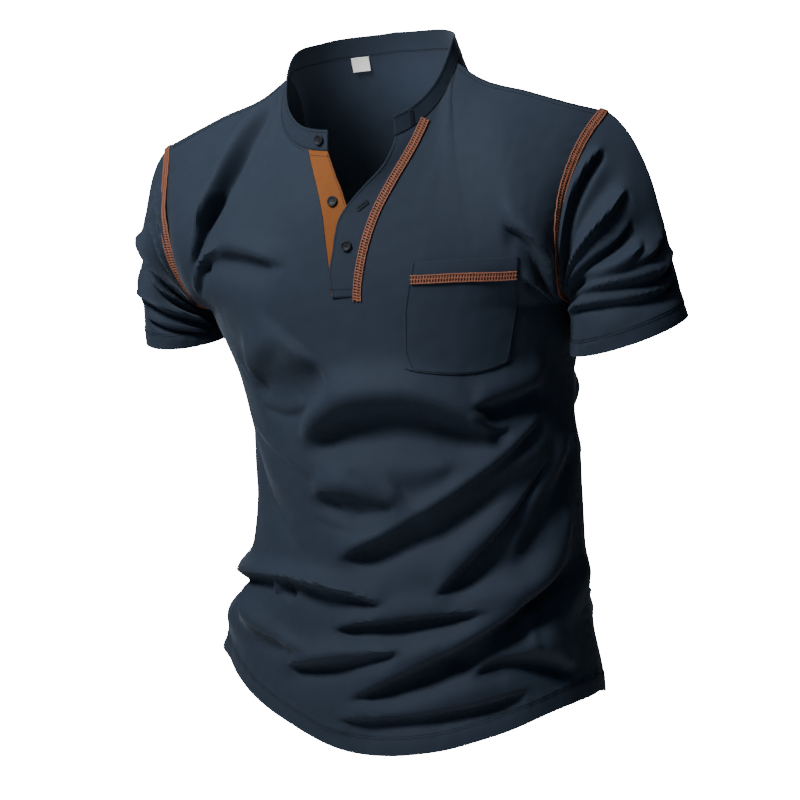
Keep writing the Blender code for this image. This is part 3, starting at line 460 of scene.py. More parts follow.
# ---------------------------------------------------------------- folds
# Folds of the body. Across runs -1..1 over the front and 1..3 over the back, height in metres.
# A fold runs from its start through its middle to its end; width is the half width of its
# slope, depth its rise. Slope 1 is a fold that hangs over on its lower side, 0 a plain ridge
# (depth above 0) or valley (depth below 0). Columns: start across and height, middle across and
# height, end across and height, width, depth, slope.
BODY_FOLDS = (
    # chest and armholes
    (0.60, -0.158, 0.78, -0.178, 0.93, -0.225, 0.018, 0.006, 1.0),
    (-0.52, -0.060, -0.55, -0.140, -0.72, -0.215, 0.014, -0.006, 0.0),
    (-0.62, -0.100, -0.62, -0.160, -0.72, -0.205, 0.012, 0.005, 0.0),
    (-0.48, -0.180, -0.32, -0.186, -0.15, -0.200, 0.016, 0.004, 1.0),
    (-0.34, -0.280, -0.25, -0.320, -0.16, -0.352, 0.030, -0.008, 0.0),
    # sags across the waist
    (-0.28, -0.390, 0.10, -0.338, 0.50, -0.386, 0.024, 0.009, 1.0),
    (0.40, -0.345, 0.60, -0.334, 0.82, -0.322, 0.018, 0.006, 1.0),
    (-0.22, -0.424, 0.03, -0.448, 0.16, -0.440, 0.022, 0.006, 1.0),
    (-0.14, -0.508, 0.26, -0.458, 0.84, -0.376, 0.018, 0.008, 1.0),
    (0.22, -0.542, 0.48, -0.470, 0.82, -0.385, 0.019, 0.007, 1.0),
    (0.50, -0.520, 0.72, -0.450, 0.98, -0.380, 0.018, 0.006, 1.0),
    # hip
    (-1.25, -0.545, -0.50, -0.527, 0.08, -0.548, 0.013, 0.009, 0.0),
    (-1.30, -0.588, -0.85, -0.588, -0.30, -0.580, 0.021, 0.013, 0.0),
    (-1.40, -0.630, -1.00, -0.628, -0.66, -0.626, 0.014, 0.009, 0.0),
    (-0.12, -0.582, 0.14, -0.564, 0.48, -0.553, 0.017, 0.006, 1.0),
    (-0.32, -0.622, -0.10, -0.612, 0.16, -0.592, 0.017, 0.006, 1.0),
    (-0.06, -0.654, 0.34, -0.588, 0.92, -0.505, 0.020, 0.011, 1.0),
    (-0.08, -0.678, 0.20, -0.660, 0.62, -0.636, 0.018, 0.006, 1.0),
    (0.34, -0.628, 0.56, -0.604, 0.86, -0.632, 0.018, 0.006, 1.0),
    (0.62, -0.600, 0.82, -0.560, 1.20, -0.520, 0.020, 0.008, 0.0),
    # the side and the back
    (-0.86, -0.330, -0.62, -0.420, -0.26, -0.492, 0.020, -0.006, 0.0),
    (1.10, -0.330, 1.50, -0.372, 2.30, -0.340, 0.026, 0.007, 1.0),
    (1.20, -0.430, 1.90, -0.470, 2.70, -0.420, 0.024, 0.009, 1.0),
    (1.30, -0.540, 2.00, -0.500, 2.90, -0.560, 0.022, 0.009, 1.0),
    (1.10, -0.580, 1.60, -0.610, 2.20, -0.590, 0.022, 0.008, 1.0),
    (2.10, -0.620, 2.60, -0.600, 3.00, -0.575, 0.020, 0.008, 1.0),
    (1.28, -0.130, 1.36, -0.180, 1.24, -0.225, 0.020, 0.006, 0.0),
    (2.72, -0.130, 2.64, -0.180, 2.76, -0.225, 0.020, 0.006, 0.0),
    (1.60, -0.250, 2.00, -0.280, 2.40, -0.250, 0.030, 0.006, 1.0),
)

# Folds of the sleeves: around as on the cuff, down 0..1 from armhole to cuff.
SLEEVE_FOLDS_LEFT = (
    (0.09, 0.12, 0.26, 0.24, 0.46, 0.32, 0.016, 0.005, 1.0),
    (0.07, 0.34, 0.24, 0.50, 0.48, 0.62, 0.017, 0.006, 1.0),
    (0.92, 0.15, 0.74, 0.30, 0.54, 0.42, 0.017, 0.006, 1.0),
    (0.94, 0.42, 0.76, 0.58, 0.56, 0.70, 0.016, 0.005, 1.0),
)
SLEEVE_FOLDS_RIGHT = (
    (0.08, 0.18, 0.24, 0.26, 0.44, 0.24, 0.015, 0.005, 1.0),
    (0.06, 0.50, 0.24, 0.60, 0.48, 0.56, 0.016, 0.006, 1.0),
    (0.92, 0.15, 0.74, 0.30, 0.56, 0.36, 0.017, 0.006, 1.0),
    (0.94, 0.44, 0.76, 0.58, 0.56, 0.62, 0.016, 0.005, 1.0),
)
HEM_DEPTH = 0.022
CUFF_DEPTH = 0.020
HEM_STEP = 0.0006           # the turned hem stands this far out
STEP_WIDTH = 0.0015
RIPPLE_WAVES = 7            # waves, each with its own heading, in one ripple
# Puckers along a row of stitches: length from crest to crest, rise, reach to each side, seed.
HEM_PUCKER = (0.012, 0.0009, 0.010, 3)
SIDE_PUCKER = (0.011, 0.0008, 0.009, 5)
CUFF_PUCKER = (0.011, 0.0008, 0.008, 11)
SIDE_STITCHES = 0.008       # middle of the side seam's puckers from the seam
# Unevenness of the cloth: length from crest to crest, rise, seed.
UNEVEN = (0.060, 0.0010, 7)
UNEVEN_FINE = (0.022, 0.0003, 8)
UNEVEN_SLEEVE = (0.045, 0.0008, 12)
FOLD_DEPTH = 0.90           # depth of the folds against those of the solids
CREASE_DEPTH = 1.80         # factors on the depths of the creases below
SLEEVE_DEPTH = 2.3
LIP_HEIGHT = 0.6            # rise of a sharp edge, as a share of the depth
LIP_FALL = 0.9              # how fast it dies away behind the edge
UNDERCUT = 2.6              # how steeply the cloth drops in front of it
UNDERCUT_FALL = 1.2
SOFTENING = (-0.0022, -0.0008, 0.0008, 0.0022)  # a sharp edge is rounded over these offsets
FOLD_SHARPNESS = 0.72       # width of the folds against those of the solids

# Smaller creases, with the same columns as the folds. Slope 2 has a sharp upper edge and 3 a
# sharp lower edge.
BODY_CREASES = (
    (-0.490, 0.005, -0.555, -0.085, -0.625, -0.165, 0.0100, 0.0046, 1),  # armhole streak
    (-0.560, -0.111, -0.585, -0.153, -0.655, -0.197, 0.0070, 0.0042, 3),  # armhole ridge
    (-0.625, -0.204, -0.440, -0.179, -0.125, -0.198, 0.0085, 0.0052, 2),  # arch
    (-0.580, -0.290, -0.540, -0.310, -0.470, -0.332, 0.0040, 0.0030, 3),  # side pinch
    (-0.530, -0.186, -0.620, -0.200, -0.665, -0.228, 0.0065, 0.0048, 2),  # arch root
    (-0.505, -0.311, -0.270, -0.311, -0.100, -0.293, 0.0220, 0.0050, 1),  # breast hollow
    (-0.475, -0.342, -0.325, -0.355, -0.195, -0.341, 0.0090, 0.0032, 3),  # breast hollow foot
    (0.600, -0.160, 0.860, -0.185, 0.890, -0.239, 0.0060, 0.0068, 2),  # left armhole fold
    (0.680, -0.215, 0.795, -0.225, 0.830, -0.243, 0.0050, 0.0050, 2),  # left armhole fold low
    (-0.270, -0.392, 0.100, -0.352, 0.495, -0.385, 0.0170, 0.0052, 1),  # sag
    (-0.100, -0.398, 0.115, -0.420, 0.330, -0.400, 0.0110, 0.0016, 1),  # sag foot
    (0.385, -0.343, 0.560, -0.342, 0.760, -0.325, 0.0060, 0.0036, 3),  # sag branch
    (0.370, -0.350, 0.450, -0.366, 0.575, -0.367, 0.0060, 0.0032, 2),  # wedge lip
    (-0.125, -0.506, 0.240, -0.439, 0.795, -0.348, 0.0130, 0.0055, 2),  # fold above belly
    (0.225, -0.540, 0.405, -0.489, 0.825, -0.386, 0.0036, 0.0036, 2),  # crisp line
    (0.235, -0.542, 0.440, -0.499, 0.800, -0.417, 0.0120, 0.0016, 1),  # soft behind it
    (0.870, -0.453, 0.720, -0.512, 0.260, -0.545, 0.0100, 0.0030, 0),  # side ridge
    (-0.240, -0.440, -0.050, -0.436, 0.100, -0.446, 0.0130, 0.0034, 1),  # patch
    (-0.240, -0.456, -0.055, -0.473, 0.075, -0.449, 0.0060, 0.0014, 3),  # patch foot
    (-0.190, -0.421, -0.115, -0.441, -0.075, -0.463, 0.0025, 0.0009, 0),  # patch ridge
    (-0.655, -0.363, -0.355, -0.399, -0.180, -0.422, 0.0050, 0.0014, 2),  # diagonal
    (-0.685, -0.386, -0.550, -0.441, -0.220, -0.506, 0.0030, -0.0009, 0),  # side line
    (-1.150, -0.566, -0.400, -0.527, 0.068, -0.549, 0.0066, 0.0078, 2),  # hip edge
    (-0.280, -0.532, -0.085, -0.536, 0.070, -0.549, 0.0110, 0.0050, 2),  # hip shade
    (-0.370, -0.530, -0.380, -0.537, -0.390, -0.547, 0.0032, 0.0034, 0),  # hip pleat
    (-0.345, -0.532, -0.315, -0.540, -0.280, -0.552, 0.0042, -0.0040, 0),  # hip pleat dark
    (-0.780, -0.558, -0.785, -0.575, -0.680, -0.596, 0.0050, -0.0015, 0),  # left smear
    (-0.760, -0.545, -0.500, -0.585, -0.160, -0.606, 0.0080, 0.0032, 1),  # long soft
    (-0.100, -0.579, 0.090, -0.563, 0.455, -0.553, 0.0070, 0.0056, 2),  # low fold, right
    (-0.280, -0.622, -0.075, -0.610, 0.140, -0.594, 0.0060, 0.0036, 1),  # low fold, left
    (-0.050, -0.653, 0.285, -0.594, 0.895, -0.505, 0.0080, 0.0060, 2),  # low fold, long
    (0.245, -0.610, 0.430, -0.587, 0.605, -0.557, 0.0100, 0.0022, 1),  # low fold, under the long one
    (-0.085, -0.672, 0.175, -0.662, 0.600, -0.639, 0.0050, 0.0046, 2),  # low fold above the hem
    (0.335, -0.629, 0.540, -0.604, 0.830, -0.633, 0.0090, 0.0050, 2),  # low fold at the side
    (0.685, -0.556, 0.605, -0.578, 0.615, -0.604, 0.0035, 0.0028, 0),  # Y ridge
    (0.605, -0.593, 0.690, -0.606, 0.835, -0.627, 0.0030, 0.0016, 0),  # Y ridge
    (-0.145, -0.686, -0.090, -0.685, -0.045, -0.686, 0.0030, 0.0008, 2),  # hem crease
    (-1.300, -0.650, -0.980, -0.641, -0.720, -0.647, 0.0070, 0.0050, 0),  # hem corner
    (-1.400, -0.624, -1.050, -0.619, -0.780, -0.612, 0.0060, -0.0045, 0),  # notch above it
    # sides and back
    (1.04, -0.262, 1.16, -0.262, 1.30, -0.292, 0.0060, 0.0031, 2),
    (1.04, -0.285, 1.20, -0.300, 1.36, -0.340, 0.0070, 0.0031, 2),
    (2.96, -0.262, 2.84, -0.266, 2.70, -0.298, 0.0060, 0.0031, 2),
    (2.96, -0.300, 2.80, -0.310, 2.62, -0.350, 0.0070, 0.0029, 2),
    (1.30, -0.085, 1.38, -0.150, 1.26, -0.215, 0.0060, -0.0029, 0),
    (2.70, -0.085, 2.62, -0.150, 2.74, -0.215, 0.0060, -0.0029, 0),
    (1.10, -0.390, 1.50, -0.440, 2.00, -0.430, 0.0070, 0.0036, 2),
    (2.10, -0.400, 2.50, -0.392, 2.90, -0.360, 0.0070, 0.0036, 2),
    (1.30, -0.480, 1.80, -0.520, 2.30, -0.500, 0.0065, 0.0041, 2),
    (2.20, -0.545, 2.60, -0.530, 2.95, -0.500, 0.0065, 0.0041, 2),
    (1.15, -0.560, 1.60, -0.580, 2.10, -0.555, 0.0060, 0.0041, 2),
    (1.90, -0.630, 2.30, -0.610, 2.70, -0.625, 0.0060, 0.0034, 2),
    (1.30, -0.640, 1.60, -0.650, 1.90, -0.640, 0.0060, 0.0029, 2),
)
SLEEVE_CREASES_LEFT = (
    (0.429, 0.120, 0.300, 0.070, 0.065, 0.070, 0.0042, 0.0032, 1),
    (0.421, 0.330, 0.290, 0.305, 0.055, 0.100, 0.0052, 0.0042, 2),
    (0.400, 0.450, 0.280, 0.430, 0.060, 0.150, 0.0044, 0.0034, 2),
    (0.410, 0.560, 0.285, 0.530, 0.040, 0.130, 0.0052, 0.0040, 2),
    (0.500, 0.600, 0.350, 0.620, 0.120, 0.330, 0.0040, 0.0032, 2),
    (0.530, 0.680, 0.360, 0.700, 0.045, 0.260, 0.0056, 0.0044, 2),
    (0.529, 0.770, 0.350, 0.780, 0.070, 0.430, 0.0050, 0.0042, 2),
    (0.96, 0.05, 0.74, 0.26, 0.58, 0.30, 0.0060, 0.0034, 2),
    (0.95, 0.25, 0.74, 0.52, 0.56, 0.55, 0.0060, 0.0034, 2),
    (0.92, 0.55, 0.72, 0.74, 0.56, 0.72, 0.0055, 0.0028, 2),
)
SLEEVE_CREASES_RIGHT = (
    (0.43, 0.20, 0.30, 0.15, 0.14, 0.08, 0.0038, 0.0036, 2),
    (0.42, 0.48, 0.27, 0.43, 0.10, 0.34, 0.0038, 0.0034, 2),
    (0.42, 0.13, 0.24, 0.06, 0.05, 0.03, 0.0050, 0.0044, 1),
    (0.41, 0.27, 0.23, 0.21, 0.05, 0.13, 0.0050, 0.0046, 1),
    (0.41, 0.41, 0.23, 0.35, 0.05, 0.26, 0.0055, 0.0046, 1),
    (0.38, 0.54, 0.22, 0.50, 0.06, 0.42, 0.0045, 0.0034, 1),
    (0.36, 0.66, 0.20, 0.64, 0.06, 0.60, 0.0050, 0.0032, 1),
    (0.33, 0.78, 0.20, 0.79, 0.06, 0.78, 0.0040, 0.0024, 1),
    (0.94, 0.05, 0.74, 0.22, 0.58, 0.32, 0.0060, 0.0034, 2),
    (0.94, 0.28, 0.74, 0.48, 0.56, 0.52, 0.0060, 0.0034, 2),
    (0.92, 0.56, 0.72, 0.72, 0.56, 0.74, 0.0055, 0.0028, 2),
)
ACROSS_LENGTH = 0.28        # cloth length of one unit of across, at the chest
AROUND_LENGTH = 0.40        # girth of a sleeve
SLEEVE_LENGTH = 0.20
ROUND_BODY = 4.0            # units of across once round the body
FOLD_STEPS = 24             # points on the line of a fold


def fold_height(table, u, v, scale, period, sharp=1.0, ends=0.22, taper=0.0):
    """Rise of the cloth at (u, v) from a table of folds; scale turns u and v into metres.

    A fold fades over the share ends of its length at each end, and taper narrows it there."""
    total = np.zeros(np.broadcast(u, v).shape)
    t = np.linspace(0.0, 1.0, FOLD_STEPS)
    for row in table:
        x0, z0, x1, z1, x2, z2, width, depth, slope = row
        width = width * sharp
        bend_x, bend_z = 2.0 * x1 - (x0 + x2) / 2.0, 2.0 * z1 - (z0 + z2) / 2.0
        path_u = (1 - t)**2 * x0 + 2 * t * (1 - t) * bend_x + t**2 * x2
        path_v = (1 - t)**2 * z0 + 2 * t * (1 - t) * bend_z + t**2 * z2
        du = (u[..., None] - path_u + period / 2.0) % period - period / 2.0
        dv = v[..., None] - path_v
        du, dv = du * scale[0], dv * scale[1]
        near = np.argmin(du * du + dv * dv, axis=-1)[..., None]
        du = np.take_along_axis(du, near, -1)[..., 0]
        dv = np.take_along_axis(dv, near, -1)[..., 0]
        along_u = np.gradient(path_u)[near[..., 0]] * scale[0]
        along_v = np.gradient(path_v)[near[..., 0]] * scale[1]
        length = np.hypot(along_u, along_v)
        above = (along_u * dv - along_v * du) / length * np.sign(x2 - x0)
        past = (along_u * du + along_v * dv) / length**2
        share = np.clip(t[near[..., 0]] + past * t[1], 0.0, 1.0)
        fade = smoothstep(0.0, ends, share) * smoothstep(0.0, ends, 1.0 - share)
        width = width * (1.0 + taper * (1.5 * np.sin(np.pi * share) - 1.0))
        section = sum(profile((above + step) / width, slope) for step in SOFTENING)
        total += depth * fade * section / len(SOFTENING)
    return total


def profile(above, slope):
    """Section of a fold: 0 a ridge, 1 a soft slope, 2 a slope with a sharp upper edge,
    3 one with a sharp lower edge."""
    if slope == 3:
        return -profile(-above, 2)
    if slope == 2:
        below = np.maximum(-above, 0.0)
        drop = (LIP_HEIGHT - UNDERCUT * below) * np.exp(-UNDERCUT_FALL * below)
        lip = LIP_HEIGHT * np.exp(-LIP_FALL * np.maximum(above, 0.0))
        return np.where(above >= 0.0, lip, drop)
    bell = np.exp(-0.5 * above**2)
    return bell * ((1.0 - slope) + slope * above * np.exp(0.5))


def body_folds(across, up, point, back):
    """Rise of the body cloth; it dies away at the armholes, the neckline and the shoulders."""
    around, scale = np.where(back, 2.0 - across, across), (ACROSS_LENGTH, 1.0)
    rise = fold_height(BODY_FOLDS, around, point[..., 2], scale, ROUND_BODY, FOLD_SHARPNESS)
    rise = rise * FOLD_DEPTH
    share = np.clip(up - 1.0, 0.0, 1.0)
    edge = 1.0 - np.abs(across) + smoothstep(0.12, 0.0, share)
    rise = rise * smoothstep(0.0, 0.10, edge)
    crease = fold_height(BODY_CREASES, around, point[..., 2], scale, ROUND_BODY,
                         ends=0.15, taper=0.6)
    crease = crease * CREASE_DEPTH
    rise = rise + crease * smoothstep(0.0, 0.05, edge)
    return rise * smoothstep(0.0, 0.20, 1.0 - share)


def ripple(u, v, length, seed):
    """Faint unevenness between -1 and 1, about the given length from crest to crest."""
    chance = np.random.default_rng(seed)
    total = np.zeros(np.broadcast(u, v).shape)
    for _ in range(RIPPLE_WAVES):
        heading, phase = chance.uniform(0.0, 2.0 * np.pi, 2)
        pace = 2.0 * np.pi / (length * chance.uniform(0.7, 1.5))
        total += np.sin((u * np.cos(heading) + v * np.sin(heading)) * pace + phase)
    return total / RIPPLE_WAVES


def puckers(u, v, away, size):
    """Small waves along u and v that die away with the distance from a row of stitches."""
    length, rise, reach, seed = size
    return ripple(u, v, length, seed) * rise * np.exp(-(away / reach)**2)


def uneven(u, v, size):
    """Faint waves along u and v with no direction."""
    length, rise, seed = size
    return ripple(u, v, length, seed) * rise


def small_relief(across, up, point, back):
    """Hem fold, seam puckers and the faint unevenness of the body cloth."""
    height = point[..., 2]
    above_hem = height - hem_height(across, back)
    cloth = np.where(back, 2.0 - across, across) * ACROSS_LENGTH
    none = np.zeros_like(cloth)
    rise = HEM_STEP * smoothstep(HEM_DEPTH + STEP_WIDTH, HEM_DEPTH, above_hem)
    rise = rise + puckers(cloth, none, above_hem - HEM_DEPTH, HEM_PUCKER)
    side = (1.0 - np.abs(across)) * ACROSS_LENGTH
    fade = smoothstep(0.0, 0.004, side) * smoothstep(2.0, 1.9, up)
    rise = rise + puckers(none, height, side - SIDE_STITCHES, SIDE_PUCKER) * fade
    waves = uneven(cloth, height, UNEVEN) + uneven(cloth, height, UNEVEN_FINE)
    return rise + waves * smoothstep(0.0, 0.03, side) * smoothstep(2.0, 1.85, up)


def sleeve_folds(around, down, side):
    """Rise of a sleeve's cloth; it dies away at the seam and at the cuff."""
    table = SLEEVE_FOLDS_LEFT if side > 0 else SLEEVE_FOLDS_RIGHT
    creases = SLEEVE_CREASES_LEFT if side > 0 else SLEEVE_CREASES_RIGHT
    scale = (AROUND_LENGTH, SLEEVE_LENGTH)
    rise = fold_height(table, around, down, scale, 1.0, FOLD_SHARPNESS)
    rise = rise * smoothstep(0.0, 0.14, down) * smoothstep(0.0, 0.10, 1.0 - down)
    scale = (AROUND_LENGTH, -SLEEVE_LENGTH)     # above is towards the armhole
    crease = fold_height(creases, around, down, scale, 1.0, ends=0.14, taper=0.5)
    crease = crease * SLEEVE_DEPTH * smoothstep(0.0, 0.03, down)
    return rise + crease * smoothstep(0.0, 0.06, 1.0 - down)


# ---------------------------------------------------------------- grids
def grid_normals(grid, closed):
    """Unit normals of a grid of points, outwards for columns that run to the left."""
    if closed:
        along = np.roll(grid, -1, axis=1) - np.roll(grid, 1, axis=1)
    else:
        along = np.gradient(grid, axis=1)
    up = np.gradient(grid, axis=0)
    normal = np.cross(along, up)
    return normal / np.linalg.norm(normal, axis=-1, keepdims=True)


# Front columns: key lines with their share across at heights of the panel. They follow the
# placket's two edges, the pocket's sides and the ends of the shoulder seams.
KEY_COLUMNS = ("up", "placket_right", "placket_left", "pocket_right", "pocket_left")
KEY_LINES = (
    (0.00, -0.035, 0.050, 0.190, 0.660),
    (0.60, -0.030, 0.050, 0.180, 0.610),
    (0.86, -0.018, 0.050, 0.178, 0.580),
    (1.09, -0.010, 0.050, 0.205, 0.640),
    (1.25, -0.008, 0.066, 0.232, 0.695),
    (1.42, -0.016, 0.090, 0.262, 0.690),
    (1.58, -0.030, 0.122, 0.290, 0.670),
    (1.74, -0.058, 0.170, 0.318, 0.655),
    (1.90, -0.096, 0.235, 0.345, 0.635),
    (2.00, -0.120, 0.268, 0.354, NECK_SHARE + (1.0 - NECK_SHARE) * 3 / SHOULDER_CELLS),
)
KEY_CELLS = (SHOULDER_CELLS, 6, 2, 2, 4, 3, 6)
KNOTS = np.cumsum((0,) + KEY_CELLS) * FINER
BACK_NECK = (SHOULDER_CELLS * FINER, (SHOULDER_CELLS + BACK_NECK_CELLS) * FINER)
# Free edges of the two plackets: share across at heights of the panel.
EDGE_COLUMNS = ("up", "overlap", "underlap", "flare")
FREE_EDGES = (
    (1.09, -0.006, 0.044, 0.000),
    (1.23, -0.007, 0.054, 0.000),
    (1.35, 0.001, 0.062, 0.000),
    (1.46, 0.008, 0.062, 0.001),
    (1.56, 0.020, 0.048, 0.002),
    (1.65, 0.050, 0.032, 0.003),
    (1.74, 0.090, 0.016, 0.004),
    (1.83, 0.135, -0.004, 0.005),
    (1.92, 0.158, -0.026, 0.005),
    (2.00, 0.165, -0.046, 0.004),
)


def finer(values):
    """The same run of values with FINER steps in place of each one."""
    places = np.linspace(0.0, len(values) - 1.0, (len(values) - 1) * FINER + 1)
    return np.interp(places, np.arange(len(values)), values)


def rows_up():
    """Row heights shared by every piece of the body; one row is the placket's lower end."""
    low = np.linspace(0.0, 1.0, BODY_ROWS + 1)
    high = np.linspace(KEY_LINES[3][0], 2.0, YOKE_ROWS)
    return finer(np.concatenate([low, high]))


def key_line(name, up):
    return read(KEY_LINES, KEY_COLUMNS, name, up)


def free_edge(name, up):
    return read(FREE_EDGES, EDGE_COLUMNS, name, up)


def front_across(up):
    """Column positions of the front panel for each row."""
    ones = np.ones_like(up)
    keys = [-ones, -NECK_SHARE * ones, key_line("placket_right", up),
            key_line("placket_left", up), key_line("pocket_right", up),
            NECK_SHARE * ones, key_line("pocket_left", up), ones]
    columns = []
    for cells, start, end in zip(KEY_CELLS, keys[:-1], keys[1:]):
        for k in range(cells * FINER):
            columns.append(start + (end - start) * k / (cells * FINER))
    columns.append(keys[-1])
    return np.stack(columns, -1)


def back_across(up):
    """Column positions of the back panel, running from the wearer's left to the right."""
    side = np.linspace(1.0, NECK_SHARE, SHOULDER_CELLS + 1)
    middle = np.linspace(NECK_SHARE, -NECK_SHARE, BACK_NECK_CELLS + 1)
    line = finer(np.concatenate([side, middle[1:-1], -side[::-1]]))
    return np.broadcast_to(line, (len(up), len(line)))


def weld_normals(grids, normals):
    """Gives points that lie at the same place in two grids the mean of their normals."""
    points = np.concatenate([grid.reshape(-1, 3) for grid in grids])
    stacked = np.concatenate([normal.reshape(-1, 3) for normal in normals])
    keys = np.round(points, 6) + 0.0
    unique, place = np.unique(keys, axis=0, return_inverse=True)
    place = place.reshape(-1)
    total = np.zeros_like(unique)
    np.add.at(total, place, stacked)
    mean = total[place]
    mean /= np.linalg.norm(mean, axis=-1, keepdims=True)
    welded, first = [], 0
    for grid in grids:
        count = grid.shape[0] * grid.shape[1]
        welded.append(mean[first:first + count].reshape(grid.shape))
        first += count
    return welded


def body_grids():
    """Front and back panel: points of the cloth's middle, folds included."""
    up = rows_up()
    sides = []
    for back in (False, True):
        across = back_across(up) if back else front_across(up)
        rows = np.broadcast_to(up[:, None], across.shape)
        sides.append((across, rows, panel_point(across, rows, back), back))
    plain = [side[2] for side in sides]
    normals = weld_normals(plain, [grid_normals(grid, False) for grid in plain])
    return [grid + normal * (body_folds(across, rows, grid, back)
                             + small_relief(across, rows, grid, back))[..., None]
            for (across, rows, grid, back), normal in zip(sides, normals)]


def clear_of_body(grid, side, down):
    """Keeps a sleeve's inner side just outside the body's wall, more so towards the cuff."""
    x, y, z = grid[..., 0], grid[..., 1], grid[..., 2]

    def at(name):
        return read(BODY_SECTIONS, BODY_COLUMNS, name, z)

    depth = np.where(y < at("y"), at("front"), at("back"))
    share = np.clip(np.abs(y - at("y")) / depth, 0.0, 1.0)
    reach = at("half_width") * (1.0 - share**at("square"))**(1.0 / at("square"))
    least = side * at("x") + reach + SLEEVE_CLEARANCE * smoothstep(0.0, 0.15, down)
    return np.stack([side * np.maximum(side * x, least), y, z], -1)


def sleeve_grid(side):
    """Sleeve: points of the cloth's middle, a closed ring in each row."""
    up = rows_up()[BODY_ROWS * FINER:] - 1.0
    share = np.concatenate([up, 2.0 - up[-2:0:-1]]) / 2.0
    down = np.linspace(0.0, 1.0, SLEEVE_ROWS * FINER + 1)
    around, down = np.meshgrid(share, down)
    plain = sleeve_point(around, down, side)
    normal = grid_normals(plain, True) * -side
    above_cuff, girth = (1.0 - down) * SLEEVE_LENGTH, around * AROUND_LENGTH
    relief = HEM_STEP * smoothstep(CUFF_DEPTH + STEP_WIDTH, CUFF_DEPTH, above_cuff)
    relief = relief + puckers(girth, np.zeros_like(girth), above_cuff - CUFF_DEPTH, CUFF_PUCKER)
    waves = uneven(girth, down * SLEEVE_LENGTH, UNEVEN_SLEEVE)
    relief = relief + waves * smoothstep(0.0, 0.12, down)
    grid = plain + normal * (sleeve_folds(around, down, side) + relief)[..., None]
    grid = np.where((down > 0.0)[..., None], clear_of_body(grid, side, down), grid)
    return grid[::-1] if side > 0 else grid


def placket_grid(name):
    """A placket strip in the front opening, from its sewn edge to its free edge."""
    up = rows_up()[(BODY_ROWS + 1) * FINER:]
    right, left = key_line("placket_right", up), key_line("placket_left", up)
    free = free_edge(name, up)
    share = np.linspace(0.0, 1.0, PLACKET_CELLS * FINER + 1)
    start, end = (free, left) if name == "overlap" else (right, free)
    across = start[:, None] + (end - start)[:, None] * share
    rows = np.broadcast_to(up[:, None], across.shape)
    plain = panel_point(across, rows, False)
    normal = grid_normals(plain, False)
    over = (across - right[:, None]) / (left - right)[:, None]
    if name == "overlap":
        flare = free_edge("flare", up)[:, None] * (1.0 - share)**1.5
        lift = PLACKET_LIFT * (1.0 - over) + flare
    else:
        lift = -PLACKET_LIFT * over
    lift = lift + body_folds(across, rows, plain, False)
    return plain + normal * lift[..., None]


def collar_grid(front, back, overlap, underlap):
    """Collar band: stands on the neck seam, from the overlap round the back to the underlap."""
    seam = np.concatenate([overlap[-1][:-1], front[-1][KNOTS[3]:KNOTS[5]],
                           back[-1][slice(*BACK_NECK)], front[-1][KNOTS[1]:KNOTS[2]],
                           underlap[-1]])
    turn = np.abs(np.degrees(np.arctan2(seam[:, 0], -(seam[:, 1] - NECK_Y))))
    tilt = np.radians(read(COLLAR_LEAN, LEAN_COLUMNS, "lean", turn))
    inward = np.stack([-seam[:, 0], NECK_Y - seam[:, 1], np.zeros(len(seam))], -1)
    inward /= np.linalg.norm(inward, axis=-1, keepdims=True)
    upward = np.array([0.0, 0.0, 1.0])
    rise = inward * np.sin(tilt)[:, None] + upward * np.cos(tilt)[:, None]
    share = np.linspace(0.0, 1.0, COLLAR_ROWS * FINER + 1)[:, None, None]
    return seam[None] + share * COLLAR_HEIGHT * rise[None]


# ---------------------------------------------------------------- cloth meshes
def linked(name, data):
    """A new object in the scene's collection."""
    made = bpy.data.objects.new(name, data)
    bpy.context.collection.objects.link(made)
    return made


def mesh_of(name, vertices, faces, *materials):
    """A new mesh of the given materials."""
    mesh = bpy.data.meshes.new(name)
    mesh.from_pydata(vertices, [], faces)
    for material in materials:
        mesh.materials.append(material)
    return mesh


@functools.lru_cache(maxsize=None)
def cut_cloth():
    """Grid and normals of each piece's cloth, cut and folded once for all the operators."""
    front, back = body_grids()
    left, right = sleeve_grid(1.0), sleeve_grid(-1.0)
    overlap, underlap = placket_grid("overlap"), placket_grid("underlap")
    collar = collar_grid(front, back, overlap, underlap)
    names = ("front", "back", "left", "right", "overlap", "underlap", "collar")
    grids = [front, back, left, right, overlap, underlap, collar]
    normals = weld_normals(grids, [grid_normals(grid, name in ("left", "right"))
                                   for name, grid in zip(names, grids)])
    cloth = dict(zip(names, zip(grids, normals)))
    cloth["pocket"] = pocket_grid(*cloth["front"])
    cloth["label"] = label_grid(*cloth["back"])
    return cloth


def sample(values, rows, columns):
    """Values of a grid at fractional rows and columns."""
    rows, columns = np.broadcast_arrays(rows, columns)
    i = np.clip(rows.astype(int), 0, values.shape[0] - 2)
    j = np.clip(columns.astype(int), 0, values.shape[1] - 2)
    s, t = (rows - i)[..., None], (columns - j)[..., None]
    low = values[i, j] * (1.0 - t) + values[i, j + 1] * t
    high = values[i + 1, j] * (1.0 - t) + values[i + 1, j + 1] * t
    return low * (1.0 - s) + high * s


def unit(vectors):
    return vectors / np.linalg.norm(vectors, axis=-1, keepdims=True)


